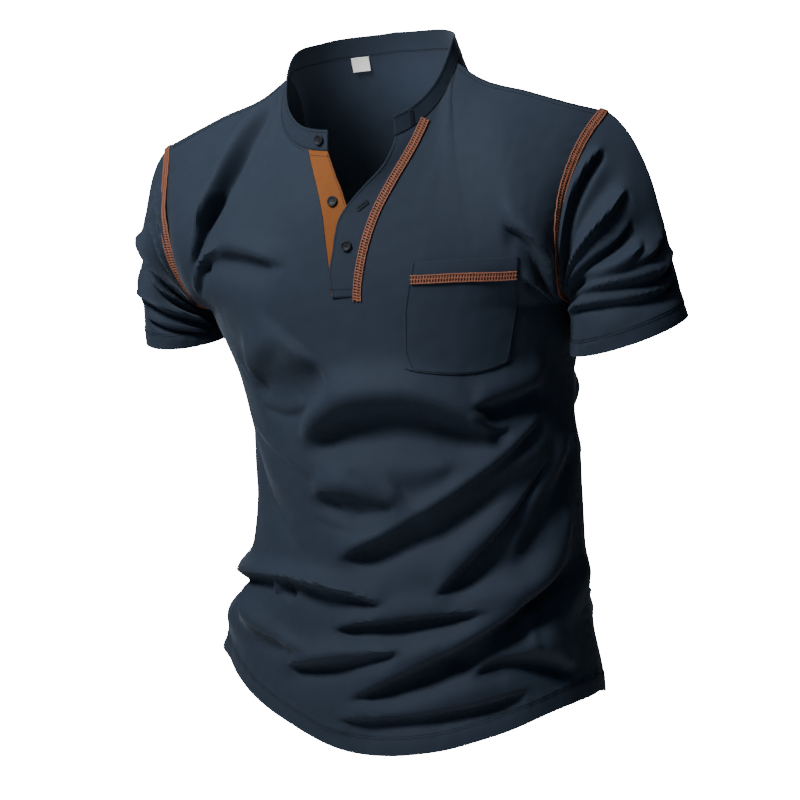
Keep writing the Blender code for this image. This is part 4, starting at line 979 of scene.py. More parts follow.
def pocket_grid(front, normal):
    """Patch pocket: the panel's own points under it, moved out, down to a curved bottom edge."""
    columns = np.arange(KNOTS[4], KNOTS[6] + 1)
    share = np.linspace(0.0, 1.0, len(columns))
    bottom = POCKET_ROWS[0] * FINER - (POCKET_CURVE * np.sin(np.pi * share)**0.7 + 0.02) * FINER
    top = POCKET_ROWS[1] * FINER
    ends = front[top, columns[0], 2], front[top, columns[-1], 2]
    line = ends[0] + (ends[1] - ends[0]) * share
    drop = (front[top, columns, 2] - line) / (front[top, columns, 2] - front[top - 1, columns, 2])
    mouth = top - drop
    steps = np.linspace(0.0, 1.0, (POCKET_ROWS[1] - POCKET_ROWS[0] + 1) * FINER)[:, None]
    rows = bottom + (mouth - bottom) * steps
    points, outs = sample(front, rows, columns), unit(sample(normal, rows, columns))
    bag = POCKET_BAG * smoothstep(0.62, 1.0, steps) * np.sin(np.pi * share)
    rise = (WALL + POCKET_WALL) / 2.0 + POCKET_GAP + POCKET_SLACK * smoothstep(0.40, 0.10, steps)
    hem = HEM_STEP * smoothstep(0.78, 0.82, steps)
    return points + outs * (rise + bag + hem)[..., None], outs


def label_grid(back, normal):
    """Neck label on the inside of the back, just under the collar seam."""
    row = len(back) - 1 - FINER
    column_at = (SHOULDER_CELLS + BACK_NECK_CELLS // 2 + LABEL_SHIFT) * FINER
    width = np.linalg.norm(back[row, column_at + FINER] - back[row, column_at]) / FINER
    height = np.linalg.norm(back[-1, column_at] - back[row, column_at]) / FINER
    middle = column_at + FINER / 2.0
    across = middle + np.linspace(-0.5, 0.5, LABEL_CELLS) * LABEL_WIDTH / width
    top = len(back) - 1 - LABEL_DROP / height
    rows = top + np.linspace(-LABEL_HEIGHT / height, 0.0, LABEL_CELLS)[:, None]
    points, outs = sample(back, rows, across), unit(sample(normal, rows, across))
    curl = LABEL_CURL * np.linspace(1.0, 0.0, LABEL_CELLS)[:, None]**2
    lift = WALL / 2.0 + LAY_GAP + LABEL_THICKNESS / 2.0 + curl + np.zeros_like(across)
    return points - outs * lift[..., None], outs


def boundary(faces):
    """Edges that only one face uses, with that face and the edge's place in it."""
    used = {}
    for index, face in enumerate(faces):
        for k, start in enumerate(face):
            used[(start, face[(k + 1) % 4])] = (index, k)
    return [(edge, where) for edge, where in used.items() if edge[::-1] not in used]


def border_inward(points, faces, edges):
    """For each point on the border, the way into the cloth, square to the border."""
    moves = {}
    for (start, end), (index, k) in edges:
        face = faces[index]
        tangent = points[end] - points[start]
        tangent /= np.linalg.norm(tangent)
        for vertex, partner in ((start, face[(k + 3) % 4]), (end, face[(k + 2) % 4])):
            inward = points[partner] - points[vertex]
            inward -= tangent * inward.dot(tangent)
            inward /= np.linalg.norm(inward)
            moves.setdefault(vertex, {}).setdefault(partner, []).append(inward)
    return {vertex: sum(np.mean(way, axis=0) for way in partners.values())
            for vertex, partners in moves.items()}


def cloth_piece(name, grid, normal, finish, keep=None, closed=False, wall=WALL):
    """A thin closed shell round a grid of points, with rounded edges and a map in metres."""
    rows, columns = grid.shape[:2]
    wrapped = np.concatenate([grid, grid[:, :1]], axis=1) if closed else grid
    run = np.cumsum(np.linalg.norm(np.diff(wrapped, axis=1), axis=-1), axis=1)
    run = np.concatenate([np.zeros((rows, 1)), run], axis=1)
    run -= run[:, run.shape[1] // 2][:, None]
    rise = np.cumsum(np.linalg.norm(np.diff(wrapped, axis=0), axis=-1), axis=0)
    rise = np.concatenate([np.zeros((1, rise.shape[1])), rise], axis=0)
    if keep is None:
        keep = np.ones((rows - 1, wrapped.shape[1] - 1), bool)
    i, j = np.nonzero(keep)
    after = (j + 1) % columns
    faces = np.stack([i * columns + j, i * columns + after,
                      (i + 1) * columns + after, (i + 1) * columns + j], -1)
    corner_u = np.stack([run[i, j], run[i, j + 1], run[i + 1, j + 1], run[i + 1, j]], -1)
    corner_v = np.stack([rise[i, j], rise[i, j + 1], rise[i + 1, j + 1], rise[i + 1, j]], -1)
    used, numbered = np.unique(faces.reshape(-1), return_inverse=True)
    faces = numbered.reshape(-1, 4)
    points, half = grid.reshape(-1, 3)[used], normal.reshape(-1, 3)[used] * wall / 2.0
    listed = [tuple(face) for face in faces.tolist()]
    edges = boundary(listed)
    inward = border_inward(points, listed, edges)
    pulled = points.copy()
    for vertex, way in inward.items():
        pulled[vertex] += way * EDGE_ROUND * wall
    count = len(points)
    border = {vertex: 2 * count + place for place, vertex in enumerate(inward)}
    vertices = np.concatenate([pulled + half, pulled - half, points[list(inward)]])
    map_at = np.zeros((count, 2))
    map_at[faces.reshape(-1)] = np.stack([corner_u.reshape(-1), corner_v.reshape(-1)], -1)
    shell = listed + [tuple(v + count for v in face[::-1]) for face in listed]
    corners = np.stack([corner_u, corner_v], -1)
    maps = [corners, corners[:, ::-1]]
    for (a, b), _ in edges:
        shell += [(b, a, border[a], border[b]), (border[b], border[a], a + count, b + count)]
        maps.append(np.array([[map_at[b], map_at[a], map_at[a], map_at[b]]] * 2))
    mesh = mesh_of(name, vertices.tolist(), shell, finish)
    layer = mesh.uv_layers.new(name=CLOTH_MAP)
    layer.data.foreach_set("uv", np.concatenate(maps).reshape(-1))
    return settled(name, mesh)


def settled(name, mesh):
    """Object of a finished mesh, smoothly shaded and riding on the shirt's one body."""
    mesh.shade_smooth()
    mesh.set_sharp_from_angle(angle=math.radians(SHARP_ANGLE))
    mesh.update()
    made = linked(name, mesh)
    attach(made, "root")
    return made


# ---------------------------------------------------------------- node trees
class Value:
    """A node's output in an expression: arithmetic on it adds Math nodes."""

    def __init__(self, nodes, socket):
        self.nodes, self.socket = nodes, socket

    def maths(self, operation, *terms):
        settings = {"operation": operation}
        return self.nodes.add("ShaderNodeMath", settings, dict(enumerate(terms)))

    def __add__(self, other):
        return self.maths("ADD", self, other)

    def __sub__(self, other):
        return self.maths("SUBTRACT", self, other)

    def __rsub__(self, other):
        return self.maths("SUBTRACT", other, self)

    def __mul__(self, other):
        return self.maths("MULTIPLY", self, other)

    def __neg__(self):
        return self.maths("MULTIPLY", self, -1.0)

    def sine(self):
        return self.maths("SINE", self)

    def size(self):
        return self.maths("ABSOLUTE", self)

    __radd__, __rmul__ = __add__, __mul__


class Nodes:
    """Adds nodes to a tree: settings first, then the values or links of the sockets."""

    def __init__(self, tree):
        self.tree = tree

    def add(self, kind, settings=None, values=None, out=0):
        node = self.tree.nodes.new(kind)
        for name, value in (settings or {}).items():
            setattr(node, name, value)
        self.fill(node, values or {})
        return Value(self, node.outputs[out])

    def fill(self, node, values):
        for name, value in values.items():
            if isinstance(value, Value):
                self.tree.links.new(value.socket, node.inputs[name])
            else:
                node.inputs[name].default_value = value


def finish_of(name, build, colour, roughness, **fixed):
    """A Principled material; build returns the sockets that vary over the surface."""
    material = bpy.data.materials.new(name)
    material.use_nodes = True
    nodes = Nodes(material.node_tree)
    shader = material.node_tree.nodes["Principled BSDF"]
    shader.inputs["Base Color"].default_value = (*colour, 1.0)
    shader.inputs["Roughness"].default_value = roughness
    for socket, value in fixed.items():
        shader.inputs[socket.replace("_", " ")].default_value = value
    nodes.fill(shader, build(nodes, colour))
    return material


def blended(nodes, share, start, end):
    """A colour between two, by a share from 0 to 1."""
    values = {0: share, 6: (*start, 1.0), 7: (*end, 1.0)}
    return nodes.add("ShaderNodeMix", {"data_type": "RGBA"}, values, out=2)


def tinted(nodes, colour, share, darkest, lightest):
    """The colour made darker or lighter by a share from 0 to 1."""
    return blended(nodes, share, [c * darkest for c in colour], [c * lightest for c in colour])


def on_object(nodes):
    """Place on the piece, in its own coordinates."""
    return nodes.add("ShaderNodeTexCoord", out=3)


def on_cloth(nodes):
    """Place on the cloth's map: across and along."""
    mapped = nodes.add("ShaderNodeUVMap", {"uv_map": CLOTH_MAP})
    split = nodes.add("ShaderNodeSeparateXYZ", {}, {0: mapped})
    return split, Value(nodes, split.socket.node.outputs[1])


def bumped(nodes, strength, distance, height):
    values = {"Strength": strength, "Distance": distance, "Height": height}
    return nodes.add("ShaderNodeBump", {}, values)


def cloud(nodes, place, scale, detail=3.0):
    """Soft noise from 0 to 1."""
    values = {"Vector": place, "Scale": scale, "Detail": detail, "Roughness": 0.55}
    return nodes.add("ShaderNodeTexNoise", {}, values)


def knit(nodes, colour):
    """Fine jersey: columns of loops over rows of loops, a soft nap, faint mottling, and painted
    shade and highlight that follow the loops and the nap.
    """
    settings = shirt_settings()
    place, (across, along) = on_object(nodes), on_cloth(nodes)
    wale = (across * (math.pi / settings.loop_width)).sine().size()
    course = (along * (2.0 * math.pi / settings.loop_height) + wale * 2.2).sine()
    nap = cloud(nodes, place, 1400.0)
    height = wale * 0.6 + course * 0.3 + nap * 0.6
    bump = bumped(nodes, 0.30, 0.00025, height)
    # Colour: the large cloud is the cloth's own uneven tone. The nap and wale terms follow the bump:
    # lighter where the fuzz and loops stand up (painted highlight), darker in the grooves between
    # loop columns (painted shade).
    mottle_and_painted_shade = cloud(nodes, place, 45.0) * 0.55 + nap * 0.25 + wale * 0.20
    return {"Base Color": tinted(nodes, colour, mottle_and_painted_shade, 0.78, 1.20), "Normal": bump,
            "Roughness": 0.70 + nap * 0.16}


def twill(nodes, colour):
    """Woven facing: fine slanting ribs with a soft nap, and painted highlight on the raised ribs and
    fuzz.
    """
    place, (across, along) = on_object(nodes), on_cloth(nodes)
    rib = ((across + along) * (2.0 * math.pi / RIB_WIDTH)).sine()
    nap = cloud(nodes, place, 1200.0)
    bump = bumped(nodes, 0.30, 0.0002, rib * 0.35 + nap)
    # Colour: the large cloud is the facing's own uneven tone. The nap and rib terms follow the bump
    # and are lighter where the ribs and fuzz stand up: painted highlight.
    share = cloud(nodes, place, 90.0) * 0.6 + nap * 0.3 + rib * 0.05
    return {"Base Color": tinted(nodes, colour, share, 0.78, 1.18), "Normal": bump}


def spun(nodes, colour):
    """Sewing thread: a twisted, slightly hairy surface, with painted highlight where its fibre
    relief stands up.
    """
    place = on_object(nodes)
    fibre = cloud(nodes, place, 2600.0, 2.0)
    bump = bumped(nodes, 0.35, 0.0001, fibre)
    # Colour: the cloud is the thread's own uneven tone. The fibre term follows the bump and is
    # lighter where the fibres stand up: painted highlight.
    share = cloud(nodes, place, 500.0) * 0.6 + fibre * 0.4
    return {"Base Color": tinted(nodes, colour, share, 0.55, 1.45), "Normal": bump}


def taped(nodes, colour):
    """Label tape: a close plain weave."""
    place = on_object(nodes)
    bump = bumped(nodes, 0.25, 0.0002, cloud(nodes, place, 1500.0))
    share = cloud(nodes, place, 160.0)
    return {"Base Color": tinted(nodes, colour, share, 0.92, 1.05), "Normal": bump}


def polished(nodes, colour):
    """Moulded button: faint cloudy streaks and fine scuffs."""
    place = on_object(nodes)
    streak = cloud(nodes, place, 260.0, 5.0)
    scuff = cloud(nodes, place, 900.0)
    return {"Base Color": tinted(nodes, colour, streak, 0.6, 1.7),
            "Roughness": 0.36 + scuff * 0.2}


@functools.lru_cache(maxsize=None)
def finishes():
    """The shirt's finishes, made once from the colours in the settings."""
    colours = shirt_settings()
    sheen = {"Sheen_Weight": 0.12, "Sheen_Roughness": 0.45,
             "Sheen_Tint": (0.62, 0.74, 0.90, 1.0), "Specular_IOR_Level": 0.25}
    plain = {"Specular_IOR_Level": 0.25}
    return {
        "jersey": finish_of("navy jersey", knit, colours.jersey, 0.78, **sheen),
        "facing": finish_of("ochre facing", twill, colours.facing, 0.80, **plain),
        # The band's ground is a darker rust: the band's own ground with painted shade between its
        # threads.
        "band": finish_of("seam band ground and painted shade", spun, colours.band_ground_and_painted_shade, 0.90, **plain),
        "rust": finish_of("rust thread", spun, colours.rust_thread, 0.62, **plain),
        "navy": finish_of("navy thread", spun, colours.navy_thread, 0.60, **plain),
        "white": finish_of("white thread", spun, colours.label, 0.65, **plain),
        "label": finish_of("label tape finish", taped, colours.label, 0.80, **plain),
        "button": finish_of("dark button finish", polished, colours.button, 0.62,
                            Specular_IOR_Level=0.15),
    }


# ---------------------------------------------------------------- sewing
def socket_in(tree, name, kind, default=None):
    """A named input of a tree."""
    made = tree.interface.new_socket(name, in_out="INPUT", socket_type=kind)
    if default is not None:
        made.default_value = default


def begin_tree(name, sizes):
    """A geometry tree with a path coming in, named sizes and a thread finish."""
    tree = bpy.data.node_groups.new(name, "GeometryNodeTree")
    socket_in(tree, "Path", "NodeSocketGeometry")
    for label, default in sizes:
        socket_in(tree, label, "NodeSocketFloat", default)
    socket_in(tree, "Thread", "NodeSocketMaterial")
    tree.interface.new_socket("Stitches", in_out="OUTPUT", socket_type="NodeSocketGeometry")
    nodes = Nodes(tree)
    group = tree.nodes.new("NodeGroupInput")
    given = {socket.name: Value(nodes, socket) for socket in group.outputs if socket.name}
    return tree, nodes, given


def vector(nodes, x, y, z):
    return nodes.add("ShaderNodeCombineXYZ", {}, {0: x, 1: y, 2: z})


def thread(nodes, start, top, end, radius):
    """A short arched length of thread."""
    bow = nodes.add("GeometryNodeCurveQuadraticBezier", {},
                    {"Resolution": 4, "Start": start, "Middle": top, "End": end})
    ring = nodes.add("GeometryNodeCurvePrimitiveCircle", {"mode": "RADIUS"},
                     {"Resolution": 6, "Radius": radius})
    return nodes.add("GeometryNodeCurveToMesh", {},
                     {"Curve": bow, "Profile Curve": ring, "Fill Caps": True})


def end_tree(tree, nodes, given, stitch):
    """Sets the stitch at every pitch along the path, turned to the path and the cloth."""
    path = nodes.add("GeometryNodeMeshToCurve", {}, {0: given["Path"]})
    places = nodes.add("GeometryNodeResampleCurve", {"mode": "LENGTH"},
                       {"Curve": path, "Length": given["Pitch"]})
    along = nodes.add("GeometryNodeInputTangent")
    outward = nodes.add("GeometryNodeInputNamedAttribute", {"data_type": "FLOAT_VECTOR"},
                        {"Name": OUTWARD})
    turn = nodes.add("FunctionNodeAxesToRotation",
                     {"primary_axis": "X", "secondary_axis": "Z"},
                     {0: along, 1: outward})
    placed = nodes.add("GeometryNodeInstanceOnPoints", {},
                       {"Points": places, "Instance": stitch, "Rotation": turn})
    real = nodes.add("GeometryNodeRealizeInstances", {}, {0: placed})
    finished = nodes.add("GeometryNodeSetMaterial", {},
                         {"Geometry": real, "Material": given["Thread"]})
    group = tree.nodes.new("NodeGroupOutput")
    nodes.fill(group, {0: finished})
    return tree


@functools.lru_cache(maxsize=None)
def running_tree():
    """Running stitches: one arched thread at every pitch."""
    tree, nodes, given = begin_tree("Running stitches", (
        ("Pitch", 0.0032), ("Length", 0.0023), ("Radius", 0.0003), ("Rise", 0.0005)))
    half = given["Length"] * 0.5
    stitch = thread(nodes, vector(nodes, -half, 0.0, 0.0),
                    vector(nodes, 0.0, 0.0, given["Rise"]),
                    vector(nodes, half, 0.0, 0.0), given["Radius"])
    return end_tree(tree, nodes, given, stitch)


@functools.lru_cache(maxsize=None)
def band_tree():
    """Covering stitches: threads from edge to edge of a band, and a row along each edge."""
    tree, nodes, given = begin_tree("Covering stitches", (
        ("Pitch", 0.0019), ("Width", 0.008), ("Radius", 0.0004), ("Rise", 0.0006),
        ("Slant", 0.0004)))
    half, lean_by, run = given["Width"] * 0.5, given["Slant"], given["Pitch"] * 0.55
    parts = [thread(nodes, vector(nodes, -lean_by, -half, 0.0),
                    vector(nodes, 0.0, 0.0, given["Rise"]),
                    vector(nodes, lean_by, half, 0.0), given["Radius"])]
    for edge in (half, 0.0, -half):
        parts.append(thread(nodes, vector(nodes, -run, edge, 0.0),
                            vector(nodes, 0.0, edge, given["Rise"]),
                            vector(nodes, run, edge, 0.0), given["Radius"]))
    join = nodes.tree.nodes.new("GeometryNodeJoinGeometry")
    for part in parts:
        nodes.tree.links.new(part.socket, join.inputs[0])
    return end_tree(tree, nodes, given, Value(nodes, join.outputs[0]))


def sewn(name, tracks, tree, thread_finish, **sizes):
    """Stitches along one or more tracks, as one plain mesh piece."""
    points = np.concatenate([track[0] for track in tracks])
    outs = np.concatenate([track[1] for track in tracks])
    edges, first = [], 0
    for track in tracks:
        edges += [(first + k, first + k + 1) for k in range(len(track[0]) - 1)]
        first += len(track[0])
    path = bpy.data.meshes.new(name + " path")
    path.from_pydata(points.tolist(), edges, [])
    outward = path.attributes.new(OUTWARD, "FLOAT_VECTOR", "POINT")
    outward.data.foreach_set("vector", outs.reshape(-1))
    guide = linked(name + " path", path)
    modifier = guide.modifiers.new("stitches", "NODES")
    modifier.node_group = tree
    given = {**sizes, "Thread": thread_finish}
    for item in tree.interface.items_tree:
        if item.in_out == "INPUT" and item.name in given:
            modifier[item.identifier] = given[item.name]
    shown = guide.evaluated_get(bpy.context.evaluated_depsgraph_get())
    mesh = bpy.data.meshes.new_from_object(shown)
    mesh.name = name
    guide.modifiers.remove(modifier)
    bpy.data.objects.remove(guide)
    bpy.data.meshes.remove(path)
    return settled(name, mesh)


def ribbon(name, tracks, width, lift, finish):
    """The flat ground of a seam band: a thin crowned strip along each track."""
    vertices, faces = [], []
    for points, outs in tracks:
        along = unit(np.gradient(points, axis=0))
        across = unit(np.cross(outs, along))
        section = np.linspace(-0.5, 0.5, BAND_CELLS + 1)
        crown = lift * (1.0 - (2.0 * section)**4)
        flat = points[:, None] + across[:, None] * section[:, None] * width
        upper = flat + outs[:, None] * (crown + BAND_FLOOR)[:, None]
        lower = flat - outs[:, None] * BAND_FLOOR
        first, line = len(vertices), BAND_CELLS + 1
        vertices += upper.reshape(-1, 3).tolist() + lower.reshape(-1, 3).tolist()
        under = len(points) * line
        for i in range(len(points) - 1):
            for j in range(BAND_CELLS):
                a = first + i * line + j
                faces.append((a, a + line, a + line + 1, a + 1))
                faces.append((a + under + 1, a + under + line + 1, a + under + line, a + under))
            for j, turn in ((0, 1), (BAND_CELLS, -1)):
                a = first + i * line + j
                faces.append((a, a + under, a + under + line, a + line)[::turn])
        for i, turn in ((0, -1), (len(points) - 1, 1)):
            for j in range(BAND_CELLS):
                a = first + i * line + j
                faces.append((a, a + under, a + under + 1, a + 1)[::turn])
    return settled(name, mesh_of(name, vertices, faces, finish))


def lying_on(name, rows, columns, outside=True, wall=WALL):
    """Track along fractional rows and columns of a piece, on its outer or inner face."""
    grid, normal = cut_cloth()[name]
    points, outs = sample(grid, rows, columns), unit(sample(normal, rows, columns))
    side = 1.0 if outside else -1.0
    return points + outs * side * wall / 2.0, outs * side


def inset(name, distance, edge):
    """Rows and columns of the line at a distance in from one edge of a piece."""
    grid = cut_cloth()[name][0]
    turned = {"start": grid, "end": grid[:, ::-1], "low": grid.transpose(1, 0, 2),
              "high": grid[::-1].transpose(1, 0, 2)}[edge]
    step = np.linalg.norm(np.diff(turned, axis=1), axis=-1)
    run = np.concatenate([np.zeros((len(turned), 1)), np.cumsum(step, axis=1)], axis=1)
    place = np.array([np.interp(distance, line, np.arange(len(line))) for line in run])
    if edge in ("end", "high"):
        place = turned.shape[1] - 1 - place
    steps = np.arange(len(turned), dtype=float)
    return (steps, place) if edge in ("start", "end") else (place, steps)


def inset_track(name, distance, edge, span=(None,), outside=True):
    """Track at a distance in from one edge of a piece; span is the run of its points kept."""
    rows, columns = inset(name, distance, edge)
    return lying_on(name, rows[slice(*span)], columns[slice(*span)], outside)


def joined(*tracks):
    """Tracks end to end as one."""
    return np.concatenate([t[0] for t in tracks]), np.concatenate([t[1] for t in tracks])


def over_seam(track, sleeve, half):
    """The track turned half way to the sleeve and lifted, so that a band spans the seam."""
    points, outs = track
    grid, normal = cut_cloth()[sleeve]
    near = np.argmin(np.linalg.norm(points[:, None] - grid[0][None], axis=-1), axis=1)
    outs = unit(outs * 0.2 + normal[0][near] * 0.8)
    away = unit(grid[1][near] - grid[0][near])
    lift = half * np.maximum((away * outs).sum(axis=-1), 0.0)
    return points + outs * lift[:, None] + away * half * 0.9, outs


def ring(track):
    """The track closed at its first point."""
    return joined(track, (track[0][:1], track[1][:1]))


def backwards(track):
    """The track from its end to its start."""
    return track[0][::-1], track[1][::-1]


# ---------------------------------------------------------------- buttons
def place_on(piece, place):
    """Point of a piece's middle at a place on its grid, and the ways across, up and out there."""
    grid, normal = cut_cloth()[piece]
    row, col = np.float64(place[0] * FINER), np.float64(place[1] * FINER)
    at, out = sample(grid, row, col), unit(sample(normal, row, col))
    upward = sample(grid, row + 1.0, col) - at
    upward = unit(upward - out * upward.dot(out))
    return at, np.cross(upward, out), upward, out


def button_frame(piece, place):
    """Turning and place of a button: its back on the cloth, +Z away from it."""
    at, across, upward, out = place_on(piece, place)
    turn = Matrix(np.stack([across, upward, out], -1).tolist()).to_4x4()
    return Matrix.Translation(at + out * (WALL / 2.0 + LAY_GAP)) @ turn


def turned_solid(name, profile, sides, *materials):
    """A solid of revolution round Z from a profile that starts and ends on the axis."""
    angles = np.arange(sides) * 2.0 * np.pi / sides
    vertices = [(0.0, 0.0, profile[0][1])]
    for radius, height in profile[1:-1]:
        vertices += [(radius * math.cos(a), radius * math.sin(a), height) for a in angles]
    vertices.append((0.0, 0.0, profile[-1][1]))
    faces, rings = [], len(profile) - 2
    for k in range(sides):
        after = (k + 1) % sides
        faces.append((0, 1 + after, 1 + k))
        for level in range(rings - 1):
            low, high = 1 + level * sides, 1 + (level + 1) * sides
            faces.append((low + k, low + after, high + after, high + k))
        last = 1 + (rings - 1) * sides
        faces.append((last + k, last + after, len(vertices) - 1))
    return linked(name, mesh_of(name, vertices, faces, *materials))


def button_mesh(name, finish):
    """A dished button with a rounded rim and four drilled holes."""
    radius, thick = BUTTON_RADIUS, BUTTON_THICKNESS
    profile = [(share * radius, height * thick) for share, height in BUTTON_PROFILE]
    body = turned_solid(name, profile, BUTTON_SIDES, finish)
    drills = []
    for x, y in ((1, 1), (-1, 1), (-1, -1), (1, -1)):
        drill = turned_solid("drill", [(0.0, -thick), (HOLE_RADIUS, -thick),
                                       (HOLE_RADIUS, 2.0 * thick), (0.0, 2.0 * thick)], HOLE_SIDES)
        drill.data.transform(Matrix.Translation((x * HOLE_STEP, y * HOLE_STEP, 0.0)))
        cut = body.modifiers.new("hole", "BOOLEAN")
        cut.operation, cut.solver, cut.object = "DIFFERENCE", "EXACT", drill
        drills.append(drill)
    shown = body.evaluated_get(bpy.context.evaluated_depsgraph_get())
    mesh = bpy.data.meshes.new_from_object(shown)
    for scrap in drills + [body]:
        bpy.data.objects.remove(scrap)
    return mesh


def add_tube(mesh_lists, path, radius, sides=8):
    """Adds a tube round a short path to lists of vertices and faces."""
    vertices, faces = mesh_lists
    path = np.array(path)
    along = unit(np.gradient(path, axis=0))
    side = unit(np.cross(along, np.array([0.0, 0.0, 1.0]) + along[:, [1, 2, 0]] * 0.01))
    up = np.cross(side, along)
    angles = np.arange(sides) * 2.0 * np.pi / sides
    first = len(vertices)
    for at, s, u in zip(path, side, up):
        vertices += [tuple(at + (s * math.cos(a) + u * math.sin(a)) * radius) for a in angles]
    for i in range(len(path) - 1):
        for k in range(sides):
            a, b = first + i * sides + k, first + i * sides + (k + 1) % sides
            faces.append((a, a + sides, b + sides, b))
    faces.append(tuple(first + k for k in range(sides)))
    faces.append(tuple(first + (len(path) - 1) * sides + k for k in range(sides))[::-1])


def button_thread_mesh(name, finish):
    """Two parallel loops of thread through the button's holes."""
    lists = ([], [])
    floor = BUTTON_FACE * BUTTON_THICKNESS - BUTTON_THREAD_SINK
    share = np.linspace(-1.0, 1.0, 7)
    for x in (-1.0, 1.0):
        for spread in (-BUTTON_THREAD_APART, BUTTON_THREAD_APART):
            path = [(x * HOLE_STEP + spread, y * HOLE_STEP,
                     floor + BUTTON_THREAD_RISE * (1.0 - y**4)) for y in share]
            add_tube(lists, path, BUTTON_THREAD)
    return mesh_of(name, *lists, finish)


# ---------------------------------------------------------------- settings
class ShirtSettings(bpy.types.PropertyGroup):
    """Sizes and colours of the shirt's cloth and sewing."""

    jersey: FloatVectorProperty(
        name="Jersey", description="Colour of the knitted cloth", subtype="COLOR",
        default=(0.0175, 0.0275, 0.0465), min=0.0, max=1.0)
    facing: FloatVectorProperty(
        name="Facing", description="Colour of the under lap's facing", subtype="COLOR",
        default=(0.225, 0.072, 0.0140), min=0.0, max=1.0)
    rust_thread: FloatVectorProperty(
        name="Band thread", description="Colour of the thread of the seam bands",
        subtype="COLOR", default=(0.270, 0.105, 0.066), min=0.0, max=1.0)
    # Darker rust under the band's threads: the band's ground with painted shade between the threads.
    band_ground_and_painted_shade: FloatVectorProperty(
        name="Band ground and painted shade", description="Colour between the threads of the seam bands",
        subtype="COLOR", default=(0.050, 0.021, 0.015), min=0.0, max=1.0)
    navy_thread: FloatVectorProperty(
        name="Topstitching", description="Colour of the tone-on-tone thread",
        subtype="COLOR", default=(0.016, 0.023, 0.034), min=0.0, max=1.0)
    label: FloatVectorProperty(
        name="Label", description="Colour of the bare label", subtype="COLOR",
        default=(0.90, 0.89, 0.87), min=0.0, max=1.0)
    button: FloatVectorProperty(
        name="Buttons", description="Colour of the buttons", subtype="COLOR",
        default=(0.016, 0.019, 0.023), min=0.0, max=1.0)
    loop_width: FloatProperty(
        name="Loop width", description="Width of one knitted loop", subtype="DISTANCE",
        default=0.0011, min=0.0003, max=0.01, precision=5)
    loop_height: FloatProperty(
        name="Loop height", description="Height of one knitted loop", subtype="DISTANCE",
        default=0.0009, min=0.0003, max=0.01, precision=5)
    band_width: FloatProperty(
        name="Band width", description="Width of the seam bands", subtype="DISTANCE",
        default=0.0078, min=0.002, max=0.02, precision=5)
    band_pitch: FloatProperty(
        name="Band pitch", description="Step from one covering stitch to the next",
        subtype="DISTANCE", default=0.0029, min=0.0008, max=0.01, precision=5)
    stitch_pitch: FloatProperty(
        name="Stitch pitch", description="Step from one running stitch to the next",
        subtype="DISTANCE", default=0.0030, min=0.001, max=0.01, precision=5)


class StageSettings(bpy.types.PropertyGroup):
    """Floor, light and camera."""

    floor_height: FloatProperty(
        name="Floor", description="Height of the floor under the shirt", subtype="DISTANCE",
        default=-1.45)
    key_power: FloatProperty(
        name="Key light", description="Power of the light at the upper left", default=64.0,
        min=0.0, subtype="POWER")
    front_power: FloatProperty(
        name="Front light", description="Power of the soft light before the shirt", default=7.0,
        min=0.0, subtype="POWER")
    top_power: FloatProperty(
        name="Top light", description="Power of the light above", default=8.0,
        min=0.0, subtype="POWER")
    back_power: FloatProperty(
        name="Back light", description="Power of the light behind the shirt", default=55.0,
        min=0.0, subtype="POWER")
    neck_power: FloatProperty(
        name="Neck light", description="Power of the small light inside the neck", default=0.12,
        min=0.0, subtype="POWER")
    room_light: FloatProperty(
        name="Room light", description="Strength of the even light all round", default=0.018,
        min=0.0)
    backdrop: FloatProperty(
        name="Backdrop", description="Strength of the white behind the shirt", default=30.0,
        min=0.0)


def shirt_settings():
    return bpy.context.scene.band_collar_shirt


def stage_settings():
    return bpy.context.scene.band_collar_stage


def outward_from(azimuth, elevation):
    """Direction from the shirt: azimuth 0 is its front, positive its left (degrees)."""
    azimuth, elevation = math.radians(azimuth), math.radians(elevation)
    return Vector((math.sin(azimuth) * math.cos(elevation),
                   -math.cos(azimuth) * math.cos(elevation), math.sin(elevation)))


def band(name, tracks):
    """A seam band: its ground, darkened with painted shade between the threads, and its covering
    stitches.
    """
    sizes, cloth = shirt_settings(), finishes()
    ground = ribbon(name + "_ground", tracks, sizes.band_width, BAND_CROWN, cloth["band"])
    raised = [(points + outs * (BAND_CROWN + BAND_FLOOR) * 0.6, outs) for points, outs in tracks]
    threads = sewn(name + "_threads", raised, band_tree(), cloth["rust"],
                   Pitch=sizes.band_pitch, Width=sizes.band_width, **BAND_THREAD)
    return ground, threads


def topstitch(name, tracks):
    """Rows of running stitches in tone-on-tone thread."""
    return sewn(name, tracks, running_tree(), finishes()["navy"],
                Pitch=shirt_settings().stitch_pitch, **TOP_THREAD)


def buttonhole(name, piece, place, slant, length):
    """A worked slit: close stitches along both sides and across both ends."""
    at, across, upward, out = place_on(piece, place)
    turn = math.radians(slant)
    along = upward * math.cos(turn) + across * math.sin(turn)
    aside = np.cross(along, out)
    angles = np.linspace(0.0, 2.0 * np.pi, BUTTONHOLE_STEPS + 1)
    straight = length / 2.0 * np.clip(np.cos(angles) * BUTTONHOLE_SQUARE, -1.0, 1.0)
    apart = BUTTONHOLE_HALF * np.clip(np.sin(angles) * BUTTONHOLE_SQUARE, -1.0, 1.0)
    centre = at + out * (WALL / 2.0 + BUTTONHOLE_LIFT)
    points = centre + straight[:, None] * along + apart[:, None] * aside
    outs = np.broadcast_to(out, points.shape)
    return sewn(name, [(points, outs)], band_tree(), finishes()["navy"], **HOLE_THREAD)


